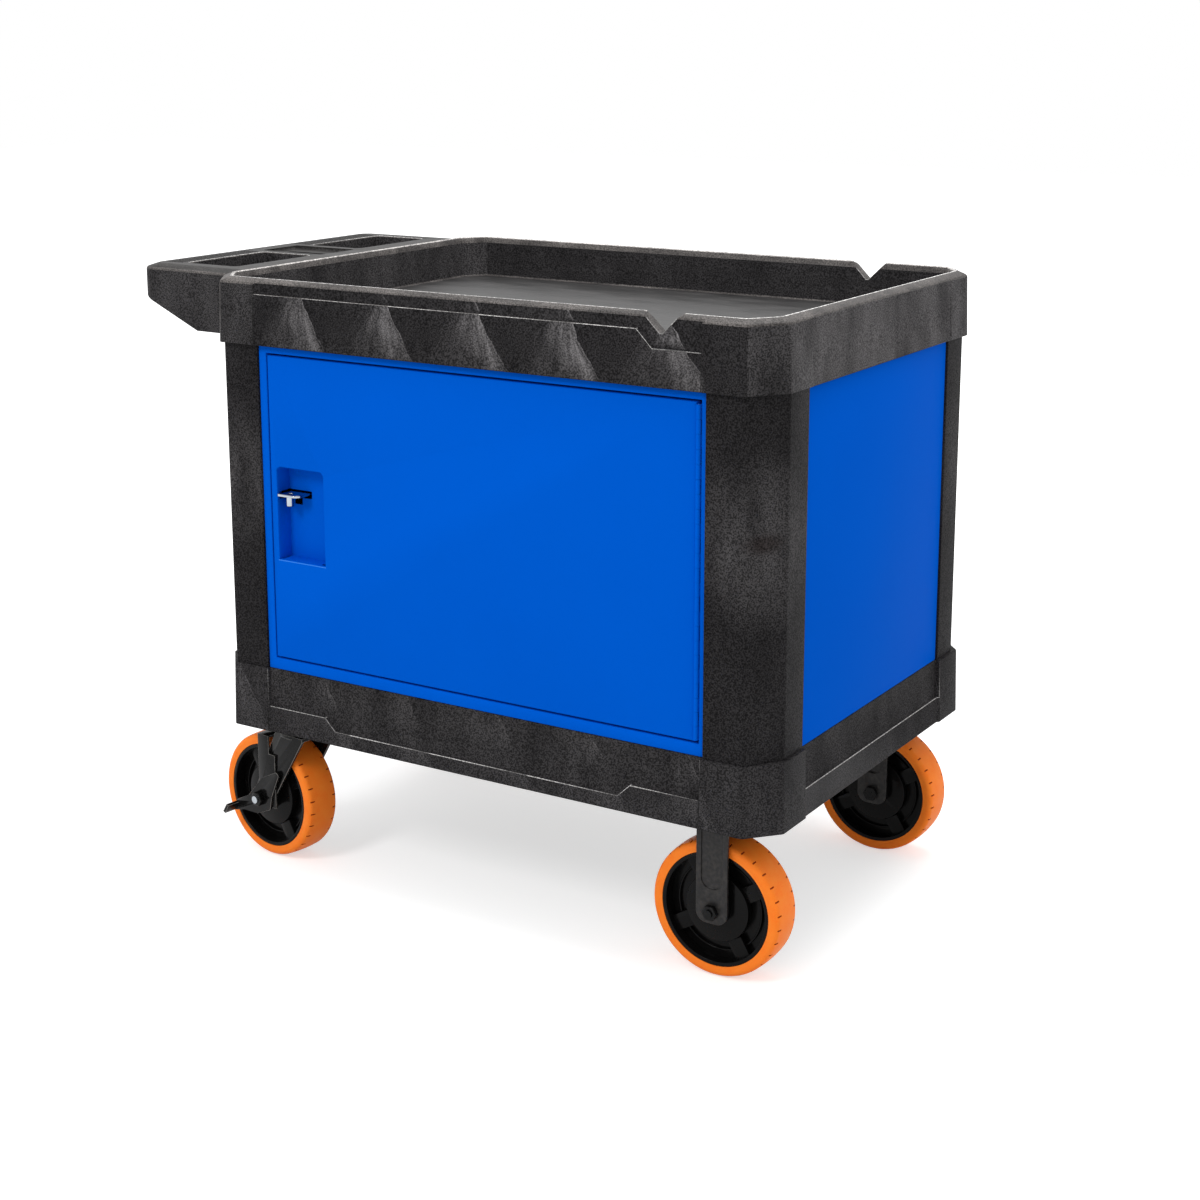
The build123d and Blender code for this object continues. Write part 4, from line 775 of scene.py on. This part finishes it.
def worn_and_highlit_foam(name, dark, light, shine, heights=()):
    """Structural foam that faces up: loads rub it smooth, in darker and paler scuffs, so that it mirrors
    light at a low angle.

    Heights are those of the edges along which a painted highlight runs, in a thin line.
    """
    scuff = 0.03
    line = 0.0004
    material, place = new_material(name)
    stretched = add_node(material, "ShaderNodeMapping", {"Vector": place, "Scale": (0.35, 1.0, 1.0)})
    scuffs = add_node(material, "ShaderNodeTexNoise", {
        "Vector": stretched, "Scale": 1 / scuff, "Detail": 6.0})
    pale_pattern = add_node(material, "ShaderNodeMapRange", {0: scuffs, 1: 0.35, 2: 0.7})
    tone = add_node(material, "ShaderNodeMix", {
        "data_type": "RGBA", 0: pale_pattern, 6: linear(dark), 7: linear(light)}, 2)
    for height in heights:
        z = add_node(material, "ShaderNodeSeparateXYZ", {0: place}, "Z")
        from_edge = add_node(material, "ShaderNodeMath", {"operation": "SUBTRACT", 0: z, 1: height})
        either_way = add_node(material, "ShaderNodeMath", {"operation": "ABSOLUTE", 0: from_edge})
        at_edge = add_node(material, "ShaderNodeMapRange", {0: either_way, 1: 0.0, 2: line, 3: 1.0, 4: 0.0})
        # Painted highlight: a thin near-white line along each of these edges.
        tone = add_node(material, "ShaderNodeMix", {
            "data_type": "RGBA", 0: at_edge, 6: tone, 7: linear("#efedeb")}, 2)
    pebble, glint = pebble_grain(material, place, 0.5, 1.5)
    shader = add_node(material, "ShaderNodeBsdfPrincipled", {
        "Base Color": add_node(material, "ShaderNodeMix", {
            "data_type": "RGBA", "blend_type": "MULTIPLY", 0: 1.0, 6: tone, 7: glint}, 2),
        "Roughness": add_node(material, "ShaderNodeMapRange", {
            0: scuffs, 1: 0.3, 2: 0.7, 3: 0.38, 4: 0.50}),
        "Normal": add_node(material, "ShaderNodeBump", {
            "Height": pebble, "Strength": 0.2, "Distance": 0.0005}),
        "Specular IOR Level": shine})
    add_node(material, "ShaderNodeOutputMaterial", {"Surface": shader})
    return material


def on_top(a, b):
    """A test for the edges at the top of the rim and the handle."""
    return min(a.z, b.z) > tray_high.z - touch and (a - b).length > rim_edge_length


def on_crest(a, b):
    """A test for the edges round the inside of the tray's rim."""
    return on_top(a, b) and min(a.x, b.x) > tray_start


def on_rim(a, b):
    """A test for the edges round the outside of the rim, below its crest."""
    return rim_edge < min(a.z, b.z) < crest_foot and (a - b).length > rim_edge_length


def below_crest(a, b):
    """A test for the tray's other edges, lower down."""
    return min(a.z, b.z) < crest_foot and mould_edge(tray_walls, ledge_edge_length)(a, b)


def on_deck(a, b):
    """A test for the edges round the deck, at the foot of the inner walls."""
    return max(abs(a.z - deck_height), abs(b.z - deck_height)) < touch


tray_marks = ((tray_low.z, mark_top), tray_panel, tray_lobe, tray_first_lobe, tray_paleness)
tray_materials = [
    structural_foam("structural_foam_tray", cloud_on_walls=0.05, cloud_on_ends=0.36, marks=tray_marks),
    # The tray's pale edge colour is a painted highlight.
    edge_highlight_foam("structural_foam_tray_edge_highlight", "#dad7d5", tray_marks),
    # The rim's paler colour is painted light: it stands for the light from above on its tops and outer
    # edges.
    worn_and_highlit_foam("structural_foam_rim_lit_from_above", "#3e3b3a", "#5f5b59", shine=0.12, heights=[tray_high.z]),
    worn_and_highlit_foam("structural_foam_deck", "#131212", "#232121", shine=1.0),
    # The crest's near-white colour is a painted highlight along the rim's inner edge.
    worn_and_highlit_foam("structural_foam_crest_highlight", "#a19d9b", "#c9c5c2", shine=0.10),
    worn_and_highlit_foam("structural_foam_handle_top", "#232222", "#3d3b3a", shine=0.08),
    structural_foam("structural_foam_handle_end", cloud_on_walls=0.13, cloud_on_ends=0.20)]
wall, edge_highlight, rim, deck, crest, handle_top, handle_end = range(len(tray_materials))
tray_walls = (Vector((tray_start, tray_low.y, tray_low.z)), tray_high)
# The rim's paler, painted-light colour also goes on the rim's edges and the fillet round the deck.
tray = finished("top_tray", [(crest_radius, on_crest, crest), (crest_radius, on_top, rim),
                             (rim_edge_radius, on_rim, rim), (-deck_fillet, on_deck, rim),
                             (ledge_edge_radius, below_crest, edge_highlight)], tray_materials)
# Faces that face up high on the tray take the rim's paler, painted-light colour; the fold beside each corner
# block takes it too, as a painted highlight line.
for face in tray.data.polygons:
    if face.material_index == edge_highlight and face.center.z > rim_edge:
        face.material_index = rim
    elif face.material_index == wall and face.normal.z > slanting:
        if face.center.z > tray_high.z - notch_depth:
            face.material_index = handle_top if face.center.x < tray_start else rim
        elif face.normal.z > level:
            face.material_index = deck
    elif face.material_index == wall and face.center.x < tray_panel[0]:
        at_fold = abs(face.center.x - block_fold) < fold_reach and abs(face.center.y) > fold_side
        face.material_index = rim if at_fold else handle_end

bpy.ops.object.select_all(action="DESELECT")
bpy.ops.mesh.primitive_cube_add(size=1.0, location=((rail_outer + rail_inner) / 2, strip_start, tray_high.z))
grooves = bpy.context.object
grooves.scale = (rail_inner - rail_outer, rib_gap, 2 * rib_depth)
bpy.ops.object.transform_apply(location=True, rotation=True, scale=True)
bpy.ops.object.mode_set(mode="EDIT")
bpy.ops.mesh.select_all(action="SELECT")
bpy.ops.mesh.bevel(offset=rib_round, segments=2, clamp_overlap=True)
bpy.ops.object.mode_set(mode="OBJECT")
repeat = grooves.modifiers.new("pitch", "ARRAY")
repeat.count = ribs_per_strip
repeat.use_relative_offset = False
repeat.use_constant_offset = True
repeat.constant_offset_displace = (0, rib_pitch, 0)
bpy.ops.object.modifier_apply(modifier="pitch")
both = grooves.modifiers.new("other_strip", "MIRROR")
both.use_axis = (False, True, False)
bpy.ops.object.modifier_apply(modifier="other_strip")
bpy.ops.object.mode_set(mode="EDIT")
bpy.ops.mesh.select_all(action="SELECT")
bpy.ops.mesh.normals_make_consistent(inside=False)
bpy.ops.object.mode_set(mode="OBJECT")
grooves.data.materials.append(tray_materials[wall])

bpy.ops.object.select_all(action="DESELECT")
bpy.ops.mesh.primitive_cube_add(size=1.0, location=((well_outer + well_inner) / 2, 0, tray_high.z))
well = bpy.context.object
well.scale = (well_inner - well_outer, well_width, 2 * well_depth)
bpy.ops.object.transform_apply(location=True, rotation=True, scale=True)
bpy.ops.object.mode_set(mode="EDIT")
bpy.ops.mesh.select_all(action="SELECT")
bpy.ops.mesh.bevel(offset=well_round, segments=3, clamp_overlap=True)
bpy.ops.object.mode_set(mode="OBJECT")
for material in tray_materials:
    well.data.materials.append(material)
well.data.polygons.foreach_set("material_index", [handle_top] * len(well.data.polygons))
grooves.select_set(True)
bpy.context.view_layer.objects.active = grooves
bpy.ops.object.join()
carve(tray, grooves)

# The studio: a white floor and world, a large soft lamp overhead, a smaller one in front and a weak one
# at the far end. The floor keeps the cart's shadow and fades to plain white away from it.
floor_size = 30.0
shadow_reach = 1.1
shadow_end = 2.6
bpy.ops.object.select_all(action="DESELECT")
bpy.ops.mesh.primitive_plane_add(size=floor_size)
floor = bpy.context.object
floor.name = "floor"


def seen_white(owner):
    """One for the rays that show the background: from the camera, a shiny surface or glass."""
    camera_ray = add_node(owner, "ShaderNodeLightPath", {}, "Is Camera Ray")
    shiny = add_node(owner, "ShaderNodeMath", {
        "operation": "MAXIMUM", 0: camera_ray, 1: camera_ray.node.outputs["Is Glossy Ray"]})
    return add_node(owner, "ShaderNodeMath", {
        "operation": "MAXIMUM", 0: shiny, 1: camera_ray.node.outputs["Is Transmission Ray"]})


paper, paper_place = new_material("white_studio_paper")
distance = add_node(paper, "ShaderNodeVectorMath", {"operation": "LENGTH", 0: paper_place}, "Value")
glow = add_node(paper, "ShaderNodeMapRange", {0: distance, 1: shadow_reach, 2: shadow_end, 3: 0.56, 4: 1.0})
paper_shader = add_node(paper, "ShaderNodeBsdfPrincipled", {
    "Base Color": linear("#dedede"),
    "Roughness": 0.9,
    "Specular IOR Level": 0.0,
    "Emission Color": linear("#ffffff"),
    "Emission Strength": add_node(paper, "ShaderNodeMath", {
        "operation": "MULTIPLY", 0: glow, 1: seen_white(paper)})})
add_node(paper, "ShaderNodeOutputMaterial", {"Surface": paper_shader})
floor.data.materials.append(paper)

world = bpy.data.worlds.new("studio")
bpy.context.scene.world = world
world.use_nodes = True
world.node_tree.nodes.clear()
sky = add_node(world, "ShaderNodeBackground", {
    "Color": linear("#ffffff"),
    "Strength": add_node(world, "ShaderNodeMapRange", {0: seen_white(world), 3: 0.75, 4: 1.0})})
add_node(world, "ShaderNodeOutputWorld", {"Surface": sky})


def soft_lamp(name, place, target, size, watts):
    """A square soft box that faces a point."""
    bpy.ops.object.light_add(type="AREA", location=place)
    lamp = bpy.context.object
    lamp.name = name
    lamp.data.size = size
    lamp.data.energy = watts
    lamp.rotation_euler = (Vector(target) - Vector(place)).to_track_quat("-Z", "Y").to_euler()


soft_lamp("overhead_lamp", place=(0.2, 0.3, 3.6), target=(0, 0, 0.6), size=2.6, watts=80.0)
soft_lamp("front_lamp", place=(-0.6, -3.3, 3.1), target=(0, 0, 0.5), size=1.0, watts=48.0)
soft_lamp("far_end_lamp", place=(3.2, 0.6, 1.8), target=(0, 0, 0.6), size=1.6, watts=5.0)

camera_place = (1.7698, -2.68909, 1.3268)
camera_dip = radians(12.189)
camera_turn = radians(31.648)
bpy.ops.object.camera_add(location=camera_place, rotation=(pi / 2 - camera_dip, 0, camera_turn))
camera = bpy.context.object
camera.data.sensor_width = 36.0
camera.data.lens = 62.11
camera.data.shift_x = -0.0057
camera.data.shift_y = -0.1117
bpy.context.scene.camera = camera
bpy.context.scene.view_settings.view_transform = "Standard"
